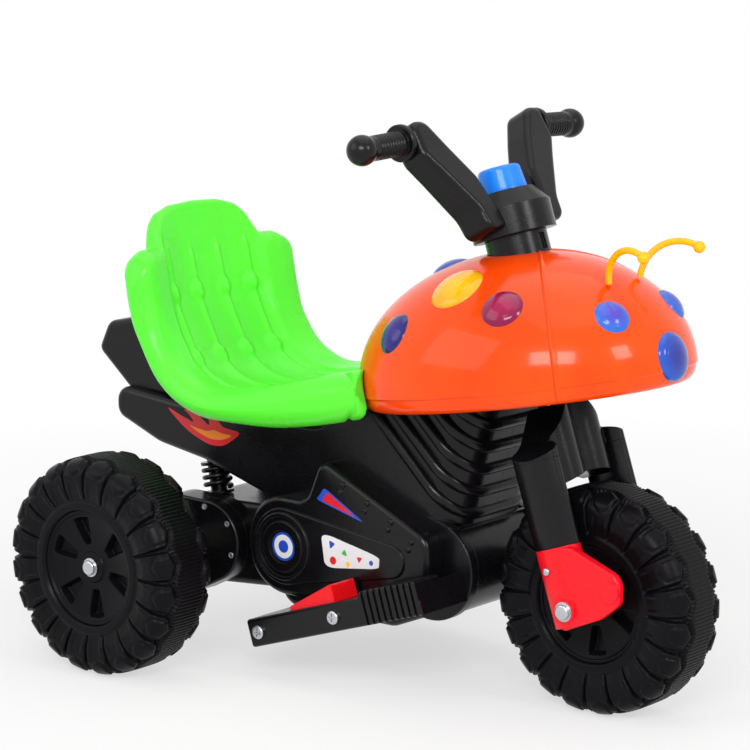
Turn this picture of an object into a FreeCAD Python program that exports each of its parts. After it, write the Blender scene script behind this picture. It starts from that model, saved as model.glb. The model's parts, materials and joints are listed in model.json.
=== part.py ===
import FreeCAD, Part
import math
import os

V = FreeCAD.Vector
ORIGIN = V(0, 0, 0)
ACROSS = V(0, 1, 0)
UP = V(0, 0, 1)

# Ride-on electric trike for a small child, in millimetres.
# Shapes are drawn with x = 0 at the front axle, +X forward, +Y to the rider's left, z = 0 on the ground.
# The last step moves the whole trike so that the origin is under the middle of its length.

# Running gear
wheel_radius = 105.0
wheel_width = 72.0
wheelbase = 444.0
rear_track = 378.0
tail_reach = 148.0
rake = 18.5
axle_radius = 5.0
run_gap = 0.05
fixed_gap = 0.1
part_gap = 0.3

# Wheel mould
ring_radius = 56.0
ring_face = 34.0
tyre_skin = 3.5
tyre_fit = 0.15
rim_wall = 4.0
web_half = 19.0
boss_radius = 14.0
boss_half = 26.0
front_boss_half = 39.5
pocket_depth = 13.0
pocket_inner = 20.0
pocket_outer = 46.0
pocket_angle = 36.0
pocket_count = 6
pocket_pairing = 3.0
pocket_round = 4.5
lug_count = 20
lug_height = 6.0
lug_width = 25.0
lug_foot_width = 18.0
lug_foot = 25.0
tread_half = 17.0
tread_drop = 0.8

# Body shells
body_half = 62.0
wall = 3.0
body_round = 7.0
floor_height = 55.0
seat_deck = 238.0
drum_back = 157.0
drum_height = 118.0
drum_radius = 46.0
drum_flange = 2.5
drum_flange_width = 11.0
arm_radius = 42.0
arm_root_back = 340.0
arm_root_height = 111.0
arm_root_radius = 40.0

# Ribs of the neck
rib_count = 5
rib_slope = 44.0
rib_thickness = 12.0
rib_half = 68.0
rib_front = 44.0
rib_edge = 5.6
rib_low_back = 130.0
rib_low_height = 166.0
rib_high_back = 106.0
rib_high_height = 252.0
rib_run = 130.0
rib_tail = 20.0
rib_proud = 4.0
neck_round = 32.0

# Engine covers
cover_depth = 24.0
cover_wall = 2.5
cover_round = 6.0
cover_back = 314.0
cover_height = 121.0
cover_radius = 48.0
cover_nose_back = 142.0
cover_top = 212.0
plateau_radius = 37.0
plateau_end_radius = 16.0
plateau_end_back = 184.0
plateau_end_height = 126.0
plateau_rise = 2.0
ridge_radius = 33.0
ridge_width = 4.0
badge_radius = 25.0
badge_dish = 16.0
badge_rise = 4.0
badge_dish_depth = 3.0
stud_radius = 3.2
stud_rise = 2.4
stud_pairs = 4

# Tail
tail_top = 246.0
fin_half = 50.0
fin_base = 238.0
fin_top = 314.0
fin_round = 7.0
fin_wall = 3.0

# Dome cowl
dome_setback = 94.0
dome_height = 302.0
dome_pitch = 9.2
dome_length = 331.0
dome_width = 272.0
dome_rise = 113.0
dome_skirt = 20.0
dome_wall = 3.0
dome_rim_round = 2.8
dome_seam_ahead = 29.0
dome_seam_slope = 37.0
seam_gap = 0.3
tray_thickness = 3.0
lens_sink = 6.0
lens_drop = 0.5
lens_bulge = 7.0
lens_gap = 0.1

# Lenses: name, ahead of the dome's centre, out from its middle, radius
paired_lenses = (
    ("lenses_indigo", -62.0, 108.0, 20.0),
    ("lenses_yellow", -3.0, 84.0, 26.0),
    ("lenses_crimson", 56.0, 98.0, 20.0),
    ("lenses_violet", 137.0, 47.0, 17.0),
)
middle_lenses = (
    ("lenses_blue", 165.2, 22.0),
    ("lenses_blue", -72.0, 20.0),
)

# Antennae
antenna_radius = 3.0
antenna_ball = 5.5
antenna_root = (120.0, 24.0)
antenna_crest = (34.0, 36.0, 429.0)
antenna_tip = (63.0, 44.0, 427.0)
antenna_seat = 2.0

# Seat
seat_half = 111.0
seat_top = 428.0
seat_ear_top = 389.0
seat_lobe_half = 67.0
seat_gap = 0.5
seat_wall = 4.0
seat_vent_radius = 4.0
seat_vent_back = 350.0

# Steering, measured along the raked axis from the axle
stem_radius = 8.0
head_radius = 19.0
head_low = 182.3
head_high = 296.0
crown_low = 113.0
crown_high = 182.0
crown_back = 24.0
crown_face = 10.0
crown_top_half = 15.0
crown_arch = 120.0
flute_radius = 20.0
leg_inner = 41.0
leg_outer = 63.0
leg_long = 25.0
leg_back = 1.0
leg_foot = 57.0
leg_head = 136.0
leg_shoulder = 138.0
end_outer = 66.0
end_plate = 8.0
end_round = 3.0
sleeve_long = 23.0
sleeve_wide = 15.5
sleeve_wall = 4.0
sleeve_low = -15.0
end_boss_radius = 11.0
end_boss_rise = 3.0
column_radius = 29.0
column_gap = 1.0
slot_width = 10.0
slot_height = 15.0
slot_depth = 3.0
bar_low = 340.0
bar_tilt = 12.0
bar_deck = 376.0
yoke_top = 366.0
yoke_front = 21.0
arm_front = 17.0
arm_back = 13.0
bar_round = 6.0
bar_hub_radius = 39.0
arm_low_half = 57.0
arm_out_half = 98.0
arm_end_half = 97.0
grip_height = 441.5
grip_back = 22.0
grip_radius = 11.5
grip_ball = 14.0
grip_end_half = 171.0
grip_flange_radius = 17.0
grip_flange_thickness = 6.0
grip_ring_count = 14
grip_ring_depth = 1.2
grip_droop = 2.0
spigot_radius = 8.0
spigot_length = 40.0

# Horn button on the handlebar
button_radius = 22.0
button_top_radius = 19.5
button_base = 379.0
button_foot = 4.0
button_top = 404.0
button_round = 4.0
collar_radius = 27.0
collar_top = 381.0
button_gap = 0.4
button_hollow = 3.0

# Footrests, measured along and square to the sloping bar
step_back = 317.0
step_height = 30.0
step_slope = 17.8
step_length = 214.0
step_thickness = 27.0
step_outer = 130.0
step_wall = 3.0
step_edge = 3.0
step_ribs_from = 148.0
step_rib_count = 9
step_rib_width = 3.2
step_rib_depth = 3.0
step_block_rise = 5.0
step_block_width = 36.0
step_screw_places = (14.0, 110.0)
screw_head_radius = 6.5
screw_head_rise = 3.5
screw_radius = 2.0
screw_length = 16.0
cross_width = 1.6
cross_depth = 1.6

# Accelerator pedal on the right footrest
pedal_start = 55.0
pedal_length = 56.0
pedal_half = 17.0
pedal_middle = 108.0
pedal_rise = 17.0
pedal_heel = 6.0
pedal_drop = 2.0
pedal_pin_radius = 1.5
pedal_pin_in = 4.0
pedal_pin_up = 2.0
pocket_clear = 1.0
pocket_floor = 13.0
switch_height = 5.0
switch_length = 14.0
switch_half = 4.0

# Drive: gears in the right-hand gearbox
gear_module = 1.25
drive_teeth = 56
small_teeth = 12
large_teeth = 36
pressure_angle = 25.0
addendum = 0.8
dedendum = 1.1
tooth_play = 0.16
centre_play = 0.1
gear_width = 10.0
drive_plane = 83.5
fast_plane = 71.5
idler_angle = 15.0
motor_angle = -100.0
idler_pin_radius = 3.0
sleeve_radius = 12.0
gearbox_depth = 30.0
gearbox_wall = 2.6
gearbox_rear_radius = 49.0
gearbox_front_radius = 40.0
gearbox_front_back = 408.0
gearbox_front_height = 113.0
motor_radius = 16.0
motor_length = 48.0
motor_shaft_radius = 1.6
motor_shaft_in = 12.0
gearbox_screw_radius = 2.8
gearbox_screw_rise = 1.5
gearbox_screw_places = ((-381.0, 134.0), (-376.0, 104.0), (-410.0, 147.0), (-412.0, 78.0))

# Battery, sound board and direction switch
battery_size = (100.0, 48.0, 70.0)
battery_back = 316.0
board_size = (70.0, 60.0, 1.6)
board_ahead = -118.0
rocker_back = 262.0
rocker_height = 214.0
rocker_length = 20.0
rocker_width = 12.0
rocker_depth = 9.0
rocker_proud = 3.0
rocker_gap = 0.4
rocker_play = 1.5
rocker_pin_radius = 1.5
rocker_pin_out = 2.0
rocker_pin_depth = 6.0

# Dummy rear shock absorbers
shock_half = 40.0
shock_low_back = 436.0
shock_low_height = 141.0
shock_high_back = 444.0
shock_high_height = 186.3
shock_rod_radius = 8.0
coil_radius = 12.5
coil_wire = 2.4
coil_turns = 3
coil_pitch = 7.0
coil_seat_radius = 14.5
coil_seat_thickness = 3.0
coil_seat_gap = 0.2

origin_shift = (wheelbase + tail_reach - wheel_radius) / 2
rear_x = -wheelbase
nodes = {}


def corner_wire(corners):
    """Closed wire in the XZ plane through corners (x, z, radius), each rounded by a tangent arc."""
    turns = []
    for i, (x, z, radius) in enumerate(corners):
        here = V(x, 0, z)
        back = V(corners[i - 1][0], 0, corners[i - 1][1]) - here
        ahead = V(corners[(i + 1) % len(corners)][0], 0, corners[(i + 1) % len(corners)][1]) - here
        back.normalize()
        ahead.normalize()
        half = back.getAngle(ahead) / 2
        reach = radius / math.tan(half)
        inward = (back + ahead).normalize()
        middle = here + inward * (radius / math.sin(half) - radius)
        turns.append((here + back * reach, middle, here + ahead * reach, radius))
    edges = []
    for i, (start, middle, end, radius) in enumerate(turns):
        edges.append(Part.LineSegment(turns[i - 1][2], start).toShape())
        if radius > 0:
            edges.append(Part.Arc(start, middle, end).toShape())
    return Part.Wire(edges)


def slab(corners, y_low, y_high, inset=0.0):
    """Plate with a rounded outline in XZ, from y_low to y_high, drawn in by inset all round."""
    face = Part.Face(corner_wire(corners))
    if inset > 0:
        face = face.makeOffset2D(-inset)
    face.translate(V(0, y_low, 0))
    return face.extrude(V(0, y_high - y_low, 0))


def capsule(x_a, z_a, radius_a, x_b, z_b, radius_b, y_low, y_high):
    """Plate round two circles and their outer tangents, in XZ, from y_low to y_high."""
    line = V(x_b - x_a, 0, z_b - z_a)
    lean = math.atan2(line.z, line.x)
    spread = math.acos((radius_a - radius_b) / line.Length)

    def on(x, z, radius, angle):
        return V(x + radius * math.cos(angle), y_low, z + radius * math.sin(angle))

    a_up = on(x_a, z_a, radius_a, lean + spread)
    a_far = on(x_a, z_a, radius_a, lean + math.pi)
    a_down = on(x_a, z_a, radius_a, lean - spread)
    b_up = on(x_b, z_b, radius_b, lean + spread)
    b_far = on(x_b, z_b, radius_b, lean)
    b_down = on(x_b, z_b, radius_b, lean - spread)
    edges = [Part.Arc(a_up, a_far, a_down).toShape(), Part.LineSegment(a_down, b_down).toShape(),
             Part.Arc(b_down, b_far, b_up).toShape(), Part.LineSegment(b_up, a_up).toShape()]
    return Part.Face(Part.Wire(edges)).extrude(V(0, y_high - y_low, 0))


def rod(radius, x, z, y_low, y_high):
    """Round bar along Y."""
    return Part.makeCylinder(radius, y_high - y_low, V(x, y_low, z), ACROSS)


def block(x_low, x_high, y_low, y_high, z_low, z_high):
    """Box between two corners."""
    return Part.makeBox(x_high - x_low, y_high - y_low, z_high - z_low, V(x_low, y_low, z_low))


def rounded(shape, radius, keep):
    """Fillet the edges for which keep(edge) is true."""
    return shape.makeFillet(radius, [edge for edge in shape.Edges if keep(edge)])


def flat_at(y):
    """Test for edges that lie in the plane at y."""
    return lambda edge: abs(edge.BoundBox.YMin - y) < 1e-4 and abs(edge.BoundBox.YMax - y) < 1e-4


def mirrored(shape):
    """The same piece on the other side."""
    return shape.mirror(ORIGIN, ACROSS)


def joined(shapes):
    """One solid from several that overlap or touch."""
    return shapes[0].fuse(shapes[1:]).removeSplitter()


def cross_head(radius, rise, shank, shank_length, x, z, y_face):
    """Pan-head screw on the right side: head outwards from y_face, cross slot, shank inwards."""
    head = rod(radius, x, z, y_face - rise, y_face)
    head = rounded(head, rise * 0.45, flat_at(y_face - rise))
    arm = radius * 0.62
    depth = min(cross_depth, rise / 2)
    for lean in (0, 90):
        slot = block(x - arm, x + arm, y_face - rise, y_face - rise + depth,
                     z - cross_width / 2, z + cross_width / 2)
        slot.rotate(V(x, 0, z), ACROSS, lean + 20)
        head = head.cut(slot)
    return joined([head, rod(shank, x, z, y_face, y_face + shank_length)])


def steered(shape):
    """Place a piece drawn about the steering axis: x ahead of it, z along it from the axle."""
    shape.rotate(ORIGIN, ACROSS, -rake)
    shape.translate(V(0, 0, wheel_radius))
    return shape


def domed(shape):
    """Place a piece drawn about the middle of the dome's rim."""
    shape.rotate(ORIGIN, ACROSS, -dome_pitch)
    shape.translate(V(-dome_setback, 0, dome_height))
    return shape


def stepped(shape):
    """Place a piece drawn along the footrest bar: x along it, z up from its underside."""
    shape.rotate(ORIGIN, ACROSS, -step_slope)
    shape.translate(V(-step_back, 0, step_height))
    return shape


# Wheels

def turned(points):
    """Solid of revolution about Y from a closed outline of (radius, y) points."""
    outline = [V(radius, y, 0) for radius, y in points]
    return Part.Face(Part.makePolygon(outline + outline[:1])).revolve(ORIGIN, ACROSS, 360)


def wheel_tyre():
    """Hollow tyre, open towards the hub, with a tread band and chunky lugs on both shoulders."""
    half = wheel_width / 2
    top = wheel_radius
    inner = ring_radius + tyre_fit
    low = lug_height
    skin = tyre_skin
    bead = [(inner, ring_face), (inner + 7, ring_face), (inner + 10, ring_face - 3)]
    shoulder = [(top - 25, half - 1), (top - 16, half), (top - 7, half - 3), (top - 1.5, half - 11),
                (top, tread_half + 1)]
    carcass = [(top - 27, half - 4), (top - 17, half - low + 1), (top - low - 4, half - low - 3),
               (top - low - 0.5, tread_half + 1)]
    tread = [(top - tread_drop, tread_half - 1)]
    hollow = [(inner, ring_face - skin), (inner + 12, ring_face - 3 - skin), (top - 27, half - 4 - skin),
              (top - 17 - skin, half - low - skin + 2), (top - low - 4 - skin, half - low - 3 - skin),
              (top - low - skin, half - low - 14)]
    side = bead + carcass + tread
    tyre = turned([(r, -y) for r, y in side] + side[::-1] + hollow + [(r, -y) for r, y in hollow[::-1]])
    band = turned(shoulder[::-1] + [(r - 1, y - 1) for r, y in carcass])
    wedge = [(top - lug_foot, -lug_foot_width / 2, 0), (top + 5, -lug_width / 2, 0),
             (top + 5, lug_width / 2, 0),
             (top - lug_foot, lug_foot_width / 2, 0)]
    lugs = []
    for i in range(lug_count):
        lug = slab(wedge, tread_half - 1.5, half + 5).common(band)
        other = mirrored(lug)
        lug.rotate(ORIGIN, ACROSS, 360.0 / lug_count * i)
        other.rotate(ORIGIN, ACROSS, 360.0 / lug_count * (i + 0.5))
        lugs += [lug, other]
    return tyre.fuse(lugs).removeSplitter()


def wheel_hub(boss):
    """Hub disc with wedge pockets on both faces and a bored boss."""
    hub = joined([rod(ring_radius, 0, 0, -web_half, web_half), rod(boss_radius, 0, 0, -boss, boss)])
    rim = rod(ring_radius, 0, 0, -ring_face + tyre_skin, ring_face - tyre_skin)
    rim = rim.cut(rod(ring_radius - rim_wall, 0, 0, -ring_face, ring_face))
    hub = joined([hub, rim])
    pockets = []
    for i in range(pocket_count):
        lean = 360.0 / pocket_count * i + (pocket_pairing if i % 2 else -pocket_pairing)
        wedge = Part.makeCylinder(pocket_outer, web_half, ORIGIN, ACROSS, pocket_angle)
        wedge = wedge.cut(rod(pocket_inner, 0, 0, -1, web_half + 1))
        wedge = rounded(wedge, pocket_round, lambda e: e.BoundBox.YLength > 1 and e.BoundBox.XLength < 1e-4)
        wedge.rotate(ORIGIN, ACROSS, lean)
        for y in (web_half - pocket_depth, -2 * web_half + pocket_depth):
            sunk = wedge.copy()
            sunk.translate(V(0, y, 0))
            pockets.append(sunk)
    hub = hub.cut(Part.makeCompound(pockets))
    return hub.cut(rod(axle_radius + run_gap, 0, 0, -boss - 1, boss + 1))


def build_wheels():
    """Front wheel and the two rear wheels from the same mould."""
    tyre = wheel_tyre()
    hub = wheel_hub(boss_half)
    places = (("front_tyre", tyre, 0, 0), ("front_hub", wheel_hub(front_boss_half), 0, 0),
              ("rear_tyre_right", tyre, rear_x, -rear_track / 2), ("rear_hub_right", hub, rear_x,
                                                                   -rear_track / 2),
              ("rear_tyre_left", tyre, rear_x, rear_track / 2), ("rear_hub_left", hub, rear_x,
                                                                 rear_track / 2))
    for name, shape, x, y in places:
        placed = shape.copy()
        placed.translate(V(x, y, wheel_radius))
        nodes[name] = placed


def axle_nut(x, y_face):
    """Domed silver nut on the right end of an axle, with its washer."""
    washer = rod(axle_radius + 4, x, wheel_radius, y_face - 1.2, y_face)
    head = rounded(rod(axle_radius + 2.2, x, wheel_radius, y_face - 5, y_face), 2.0, flat_at(y_face - 5))
    return joined([washer, head])


def build_axles():
    """Fixed steel axles with a nut and washer outside each end."""
    rear_end = rear_track / 2 + boss_half + part_gap
    nodes["rear_axle"] = rod(axle_radius, rear_x, wheel_radius, -rear_end, rear_end)
    nut = axle_nut(rear_x, -rear_end)
    nodes["rear_axle_nuts"] = Part.makeCompound([nut, mirrored(nut)])
    nodes["front_axle"] = rod(axle_radius, 0, wheel_radius, -end_outer - end_boss_rise,
                              end_outer + end_boss_rise)
    nut = axle_nut(0, -end_outer - end_boss_rise)
    nodes["front_axle_nuts"] = Part.makeCompound([nut, mirrored(nut)])


# Body

def body_outline():
    """Side outline of the body: neck, belly, engine bay, beam under the seat and tail."""
    return [(-rib_high_back + 12, 300, 9), (-rib_low_back - 1, rib_low_height - 6, 12),
            (-drum_back - 4, 72, 20),
            (-drum_back - 46, floor_height, 20), (-arm_root_back + 2, floor_height, 22),
            (-arm_root_back - 14, 158, 14), (rear_x + 4, 184, 40), (rear_x - 56, 194, 50),
            (rear_x - 112, 216, 14), (rear_x - 112, tail_top, 14), (rear_x - 30, seat_deck, 50),
            (-dome_setback - 191, seat_deck, 24), (-dome_setback - 163, 300, 9)]


def rear_arm(inset, y_low, y_high):
    """Arm from the engine bay back to the rear axle."""
    return capsule(rear_x, wheel_radius, arm_radius - inset, -arm_root_back, arm_root_height,
                   arm_root_radius - inset, y_low, y_high)


def neck_ribs():
    """Stacked ribs that slope down to the front and wrap round it."""
    ribs = []
    for i in range(rib_count):
        share = i / (rib_count - 1)
        back = rib_low_back + (rib_high_back - rib_low_back) * share
        height = rib_low_height + (rib_high_height - rib_low_height) * share
        run = rib_run * (1 - 0.82 * share) + rib_tail
        rib = block(-run, 0, -rib_half, rib_half, -rib_thickness / 2, rib_thickness / 2)
        front = min(rib_front, run - 2)
        rib = rounded(rib, front, lambda e: e.BoundBox.XMin > -1e-4 and e.BoundBox.YLength < 1e-4)
        rib = rounded(rib, rib_edge, lambda e: e.BoundBox.ZLength < 1e-4 and e.BoundBox.XMax > -run + 1e-3)
        rib.rotate(ORIGIN, ACROSS, rib_slope)
        rib.translate(V(-back + rib_proud, 0, height))
        ribs.append(rib)
    return ribs


def dome_room():
    """Space taken by the dome and its tray, above the neck."""
    room = 2 * wheelbase
    return domed(block(-dome_length * 0.65, room, -room, room, -dome_skirt - part_gap, room))


def body_hollow():
    """Space inside the body."""
    inner = body_half - wall
    return joined([slab(body_outline(), -inner, inner, wall), rear_arm(wall, -inner, inner),
                   rod(drum_radius - wall, -drum_back, drum_height, -inner, inner)])


def neck_corners(inset):
    """What is cut from the front corners of the neck, or from its hollow, to round them."""
    low = V(-rib_low_back - 1, 0, rib_low_height - 6)
    high = V(-rib_high_back + 12, 0, 300)
    lean = math.degrees(math.atan2(high.x - low.x, high.z - low.z))
    reach = high.sub(low).Length
    middle = body_half - neck_round
    corner = block(-neck_round, 20, middle, body_half + 20, 0, reach + 40)
    corner = corner.cut(Part.makeCylinder(neck_round - inset, reach + 40, V(-neck_round, middle, 0), UP))
    corner.rotate(ORIGIN, ACROSS, lean)
    corner.translate(low)
    return [corner, mirrored(corner)]


def build_body():
    """Two half shells that meet on the middle plane."""
    sides = lambda e: flat_at(body_half)(e) or flat_at(-body_half)(e)
    beam = rounded(slab(body_outline(), -body_half, body_half), body_round, sides).cut(neck_corners(0))
    arm = rounded(rear_arm(0, -body_half, body_half), body_round, sides)
    drum = rounded(rod(drum_radius, -drum_back, drum_height, -body_half, body_half), body_round, sides)
    flange = rod(drum_radius + drum_flange, -drum_back, drum_height, -body_half,
                 -body_half + drum_flange_width)
    flange = rounded(flange, 2.0, flat_at(-body_half))
    body = joined([beam, arm, drum, flange, mirrored(flange)] + neck_ribs()).cut(dome_room())
    body = body.cut(body_hollow().cut(neck_corners(wall)))
    body = body.cut(rod(axle_radius + fixed_gap, rear_x, wheel_radius, -rear_track, rear_track))
    idler, motor = gear_centres()
    body = body.cut(rod(motor_radius + fixed_gap, motor[0], motor[1], -rear_track, 0))
    body = body.cut(rocker_box(rocker_play, rocker_gap))
    room = wheelbase * 2
    nodes["body_shell_right"] = body.common(block(-room, room, -room, 0, 0, room))
    nodes["body_shell_left"] = body.common(block(-room, room, 0, room, 0, room))


def cover_outline():
    """Outline of an engine cover: round rear, raised shoulder and a nose."""
    low = cover_height - cover_radius
    high = cover_height + cover_radius
    rear = -cover_back - cover_radius
    return [(rear, low, cover_radius - 0.5), (rear, high, cover_radius - 0.5), (-cover_back + 26, high, 14),
            (-cover_back + 44, cover_top, 12), (-cover_nose_back, 152, 20), (-cover_nose_back, 106, 20),
            (-cover_back + 110, low, 30)]


def build_covers():
    """Hollow engine covers with a badge boss and a row of studs."""
    face = -body_half - cover_depth
    cover = rounded(slab(cover_outline(), face, -body_half), cover_round, flat_at(face))
    cover = cover.cut(slab(cover_outline(), face + cover_wall, -body_half, cover_wall + cover_round / 2))
    badge = rod(badge_radius, -cover_back, cover_height, face - badge_rise, face + cover_wall / 2)
    badge = rounded(badge, 1.5, flat_at(face - badge_rise))
    studs = []
    for i in range(stud_pairs):
        share = (i + 1) / (stud_pairs + 1)
        x = -cover_back + 44 + (cover_back - cover_nose_back - 44) * share
        z = cover_top + (152 - cover_top) * share
        for drop in (16, 28):
            studs.append(rod(stud_radius, x - drop * 0.4, z - drop, face - stud_rise, face + cover_wall / 2))
    plateau = capsule(-cover_back, cover_height, plateau_radius, -plateau_end_back, plateau_end_height,
                      plateau_end_radius, face - plateau_rise, face + cover_wall / 2)
    plateau = rounded(plateau, plateau_rise * 0.7, flat_at(face - plateau_rise))
    ridge = rod(ridge_radius, -cover_back, cover_height, face - badge_rise, face + cover_wall / 2)
    ridge = rounded(ridge, 1.5, flat_at(face - badge_rise))
    ridge = ridge.cut(rod(ridge_radius - ridge_width, -cover_back, cover_height, face - badge_rise - 1,
                          face + cover_wall))
    cover = joined([cover, plateau, ridge, badge] + studs)
    cover = cover.cut(rod(badge_dish, -cover_back, cover_height, face - badge_rise,
                          face - badge_rise + badge_dish_depth))
    nodes["engine_cover_right"] = cover
    nodes["engine_cover_left"] = mirrored(cover)


def build_tail():
    """Upswept tail fin on the end of the beam, open underneath."""
    tip = rear_x - tail_reach
    outline = [(tip + 46, fin_base, 5), (tip, fin_base + 39, 9), (tip + 14, fin_top - 8, 14),
               (tip + 52, fin_top, 20), (tip + 84, fin_top - 14, 12), (tip + 96, fin_base - 1, 5)]
    fin = rounded(slab(outline, -fin_half, fin_half), fin_round,
                  lambda e: flat_at(fin_half)(e) or flat_at(-fin_half)(e))
    inner = fin_half - fin_wall
    hollow = rounded(slab(outline, -inner, inner, fin_wall), fin_round - fin_wall,
                     lambda e: flat_at(inner)(e) or flat_at(-inner)(e))
    mouth = block(tip + 56, tip + 88, -inner + 6, inner - 6, fin_base - 20, fin_base + 8)
    nodes["tail_fin"] = fin.cut([hollow, mouth, slab(body_outline(), -body_half, body_half)])


# Dome cowl

def half_egg(inset, skirt):
    """Half ellipsoid over a short skirt, drawn in by inset."""
    egg = Part.makeSphere(100, ORIGIN, UP, 0, 90, 360)
    stretch = FreeCAD.Matrix()
    stretch.scale((dome_length / 2 - inset) / 100, (dome_width / 2 - inset) / 100, (dome_rise - inset) / 100)
    egg = egg.transformGeometry(stretch)
    rim = Part.Ellipse(ORIGIN, dome_length / 2 - inset, dome_width / 2 - inset).toShape()
    band = Part.Face(Part.Wire(rim)).extrude(V(0, 0, -skirt))
    return egg.fuse(band)


def dome_point(ahead, out):
    """Point on the dome and its outward direction, drawn about the rim."""
    a = dome_length / 2
    b = dome_width / 2
    height = dome_rise * math.sqrt(max(0.0, 1 - (ahead / a) ** 2 - (out / b) ** 2))
    return V(ahead, out, height), V(ahead / a ** 2, out / b ** 2, height / dome_rise ** 2).normalize()


def lens_cap(ahead, out, radius):
    """Bulging round lens with a plain edge, let into the dome."""
    place, outward = dome_point(ahead, out)
    bow = (radius ** 2 + lens_bulge ** 2) / (2 * lens_bulge)
    plug = Part.makeCylinder(radius, lens_sink + 2 * lens_bulge, V(0, 0, -lens_sink), UP)
    lens = plug.common(Part.makeSphere(bow, V(0, 0, lens_bulge - bow), V(1, 0, 0)))
    lens.Placement = FreeCAD.Placement(place - outward * lens_drop, FreeCAD.Rotation(UP, outward))
    return lens


def lens_hole(ahead, out, radius):
    """Round hole in the dome for a lens."""
    place, outward = dome_point(ahead, out)
    return Part.makeCylinder(radius + lens_gap, 8 * dome_wall, place - outward * (4 * dome_wall), outward)


def seam_prism(gap):
    """Plan area of the front half of the dome, whose edge runs forward from the column to the sides."""
    reach = dome_length
    slope = math.tan(math.radians(dome_seam_slope))
    back = dome_seam_ahead + gap
    points = [V(back, 0, -reach), V(back + reach * slope, -reach, -reach), V(2 * reach, -reach, -reach),
              V(2 * reach, reach, -reach), V(back + reach * slope, reach, -reach)]
    return Part.Face(Part.makePolygon(points + points[:1])).extrude(V(0, 0, 2 * reach))


def build_dome():
    """Two orange shells on a tray, with coloured lenses let in."""
    shell = rounded(half_egg(0, dome_skirt), dome_rim_round, lambda e: e.BoundBox.ZMax < -dome_skirt + 1e-4)
    shell = shell.cut(half_egg(dome_wall, dome_skirt + 1))
    lenses = {}
    places = [(name, ahead, side * out, radius) for name, ahead, out,
              radius in paired_lenses for side in (1, -1)]
    places += [(name, ahead, 0.0, radius) for name, ahead, radius in middle_lenses]
    for name, ahead, out, radius in places:
        lenses.setdefault(name, []).append(domed(lens_cap(ahead, out, radius)))
        shell = shell.cut(lens_hole(ahead, out, radius))
    for name, group in lenses.items():
        nodes[name] = Part.makeCompound(group)
    hole = Part.makeCylinder(column_radius + column_gap, dome_length, V(0, 0, head_low), UP)
    front = domed(shell.common(seam_prism(seam_gap))).cut(steered(hole.copy()))
    rear = domed(shell.cut(seam_prism(0))).cut(steered(hole.copy()))
    nodes["dome_front_shell"] = front
    nodes["dome_rear_shell"] = rear
    rim = Part.Ellipse(ORIGIN, dome_length / 2 - dome_wall - part_gap,
                       dome_width / 2 - dome_wall - part_gap).toShape()
    tray = Part.Face(Part.Wire(rim)).extrude(V(0, 0, tray_thickness))
    tray.translate(V(0, 0, -dome_skirt))
    head = Part.makeCylinder(head_radius, head_high - head_low, V(0, 0, head_low), UP)
    head = head.cut(Part.makeCylinder(stem_radius + run_gap, dome_length, V(0, 0, head_low - 1), UP))
    nodes["dome_tray"] = domed(tray).cut(steered(Part.makeCylinder(head_radius + fixed_gap, dome_length,
                                                                   ORIGIN, UP)))
    nodes["steering_head"] = steered(head)


def build_antennae():
    """Two yellow feelers, each a bent rod with a ball on its end."""
    root, outward = dome_point(*antenna_root)
    root = domed(Part.Vertex(root + outward * antenna_seat)).Point
    crest = V(*antenna_crest)
    tip = V(*antenna_tip)
    path = Part.Arc(root, crest, tip)
    section = Part.Wire(Part.makeCircle(antenna_radius, root, path.tangent(path.FirstParameter)[0]))
    feeler = Part.Wire(path.toShape()).makePipeShell([section], True, False)
    feeler = feeler.fuse(Part.makeSphere(antenna_ball, tip)).removeSplitter()
    nodes["antennae"] = Part.makeCompound([feeler, mirrored(feeler)])


# Seat

def seat_section(y, top, wing, thin, skin):
    """Upper and under line of the seat at y, front to top; wing raises the side, skin draws both lines in."""
    pan = [(-206, 303), (-268, 284), (-335, 264), (-395, 256), (-440, 271), (-469, 316), (-484, 362),
           (-497, 431)]
    side = [(-206, 306), (-268, 291), (-335, 275), (-388, 267), (-425, 280), (-447, 304), (-461, 345),
            (-476, 431)]
    base = [(-196, 262), (-268, 245), (-335, 236), (-405, 238), (-452, 262), (-482, 310), (-500, 360),
            (-509, 431)]
    upper = []
    under = []
    for (x_pan, z_pan), (x_side, z_side), (x_base, z_base) in zip(pan, side, base):
        face = V(x_pan + (x_side - x_pan) * wing, y, z_pan + (z_side - z_pan) * wing)
        back = V(x_base, y, z_base)
        middle = (face + back) * 0.5
        face = middle + (face - middle) * (1 - thin)
        back = middle + (back - middle) * (1 - thin)
        inward = (back - face).normalize() * skin
        upper.append(face + inward)
        under.append(back - inward)
    for line in (upper, under):
        bend = line[5]
        share = (top - bend.z) / (seat_top - bend.z)
        line[6:] = [bend + (point - bend) * share for point in line[6:]]
        line[0] = line[0] + (line[1] - line[0]).normalize() * (2 * skin)
    return upper, under


def seat_wire(y, top, wing, thin, skin):
    """Wire of one seat section."""
    upper, under = seat_section(y, top, wing, thin, skin)
    over = Part.BSplineCurve()
    over.interpolate(upper)
    below = Part.BSplineCurve()
    below.interpolate(under[::-1])
    return Part.Wire([over.toShape(), Part.LineSegment(upper[-1], under[-1]).toShape(), below.toShape(),
                      Part.LineSegment(under[0], upper[0]).toShape()])


def both_sides(stations):
    """Stations from the right edge to the left edge."""
    return [(-y, *rest) for y, *rest in stations[:0:-1]] + stations


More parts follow.
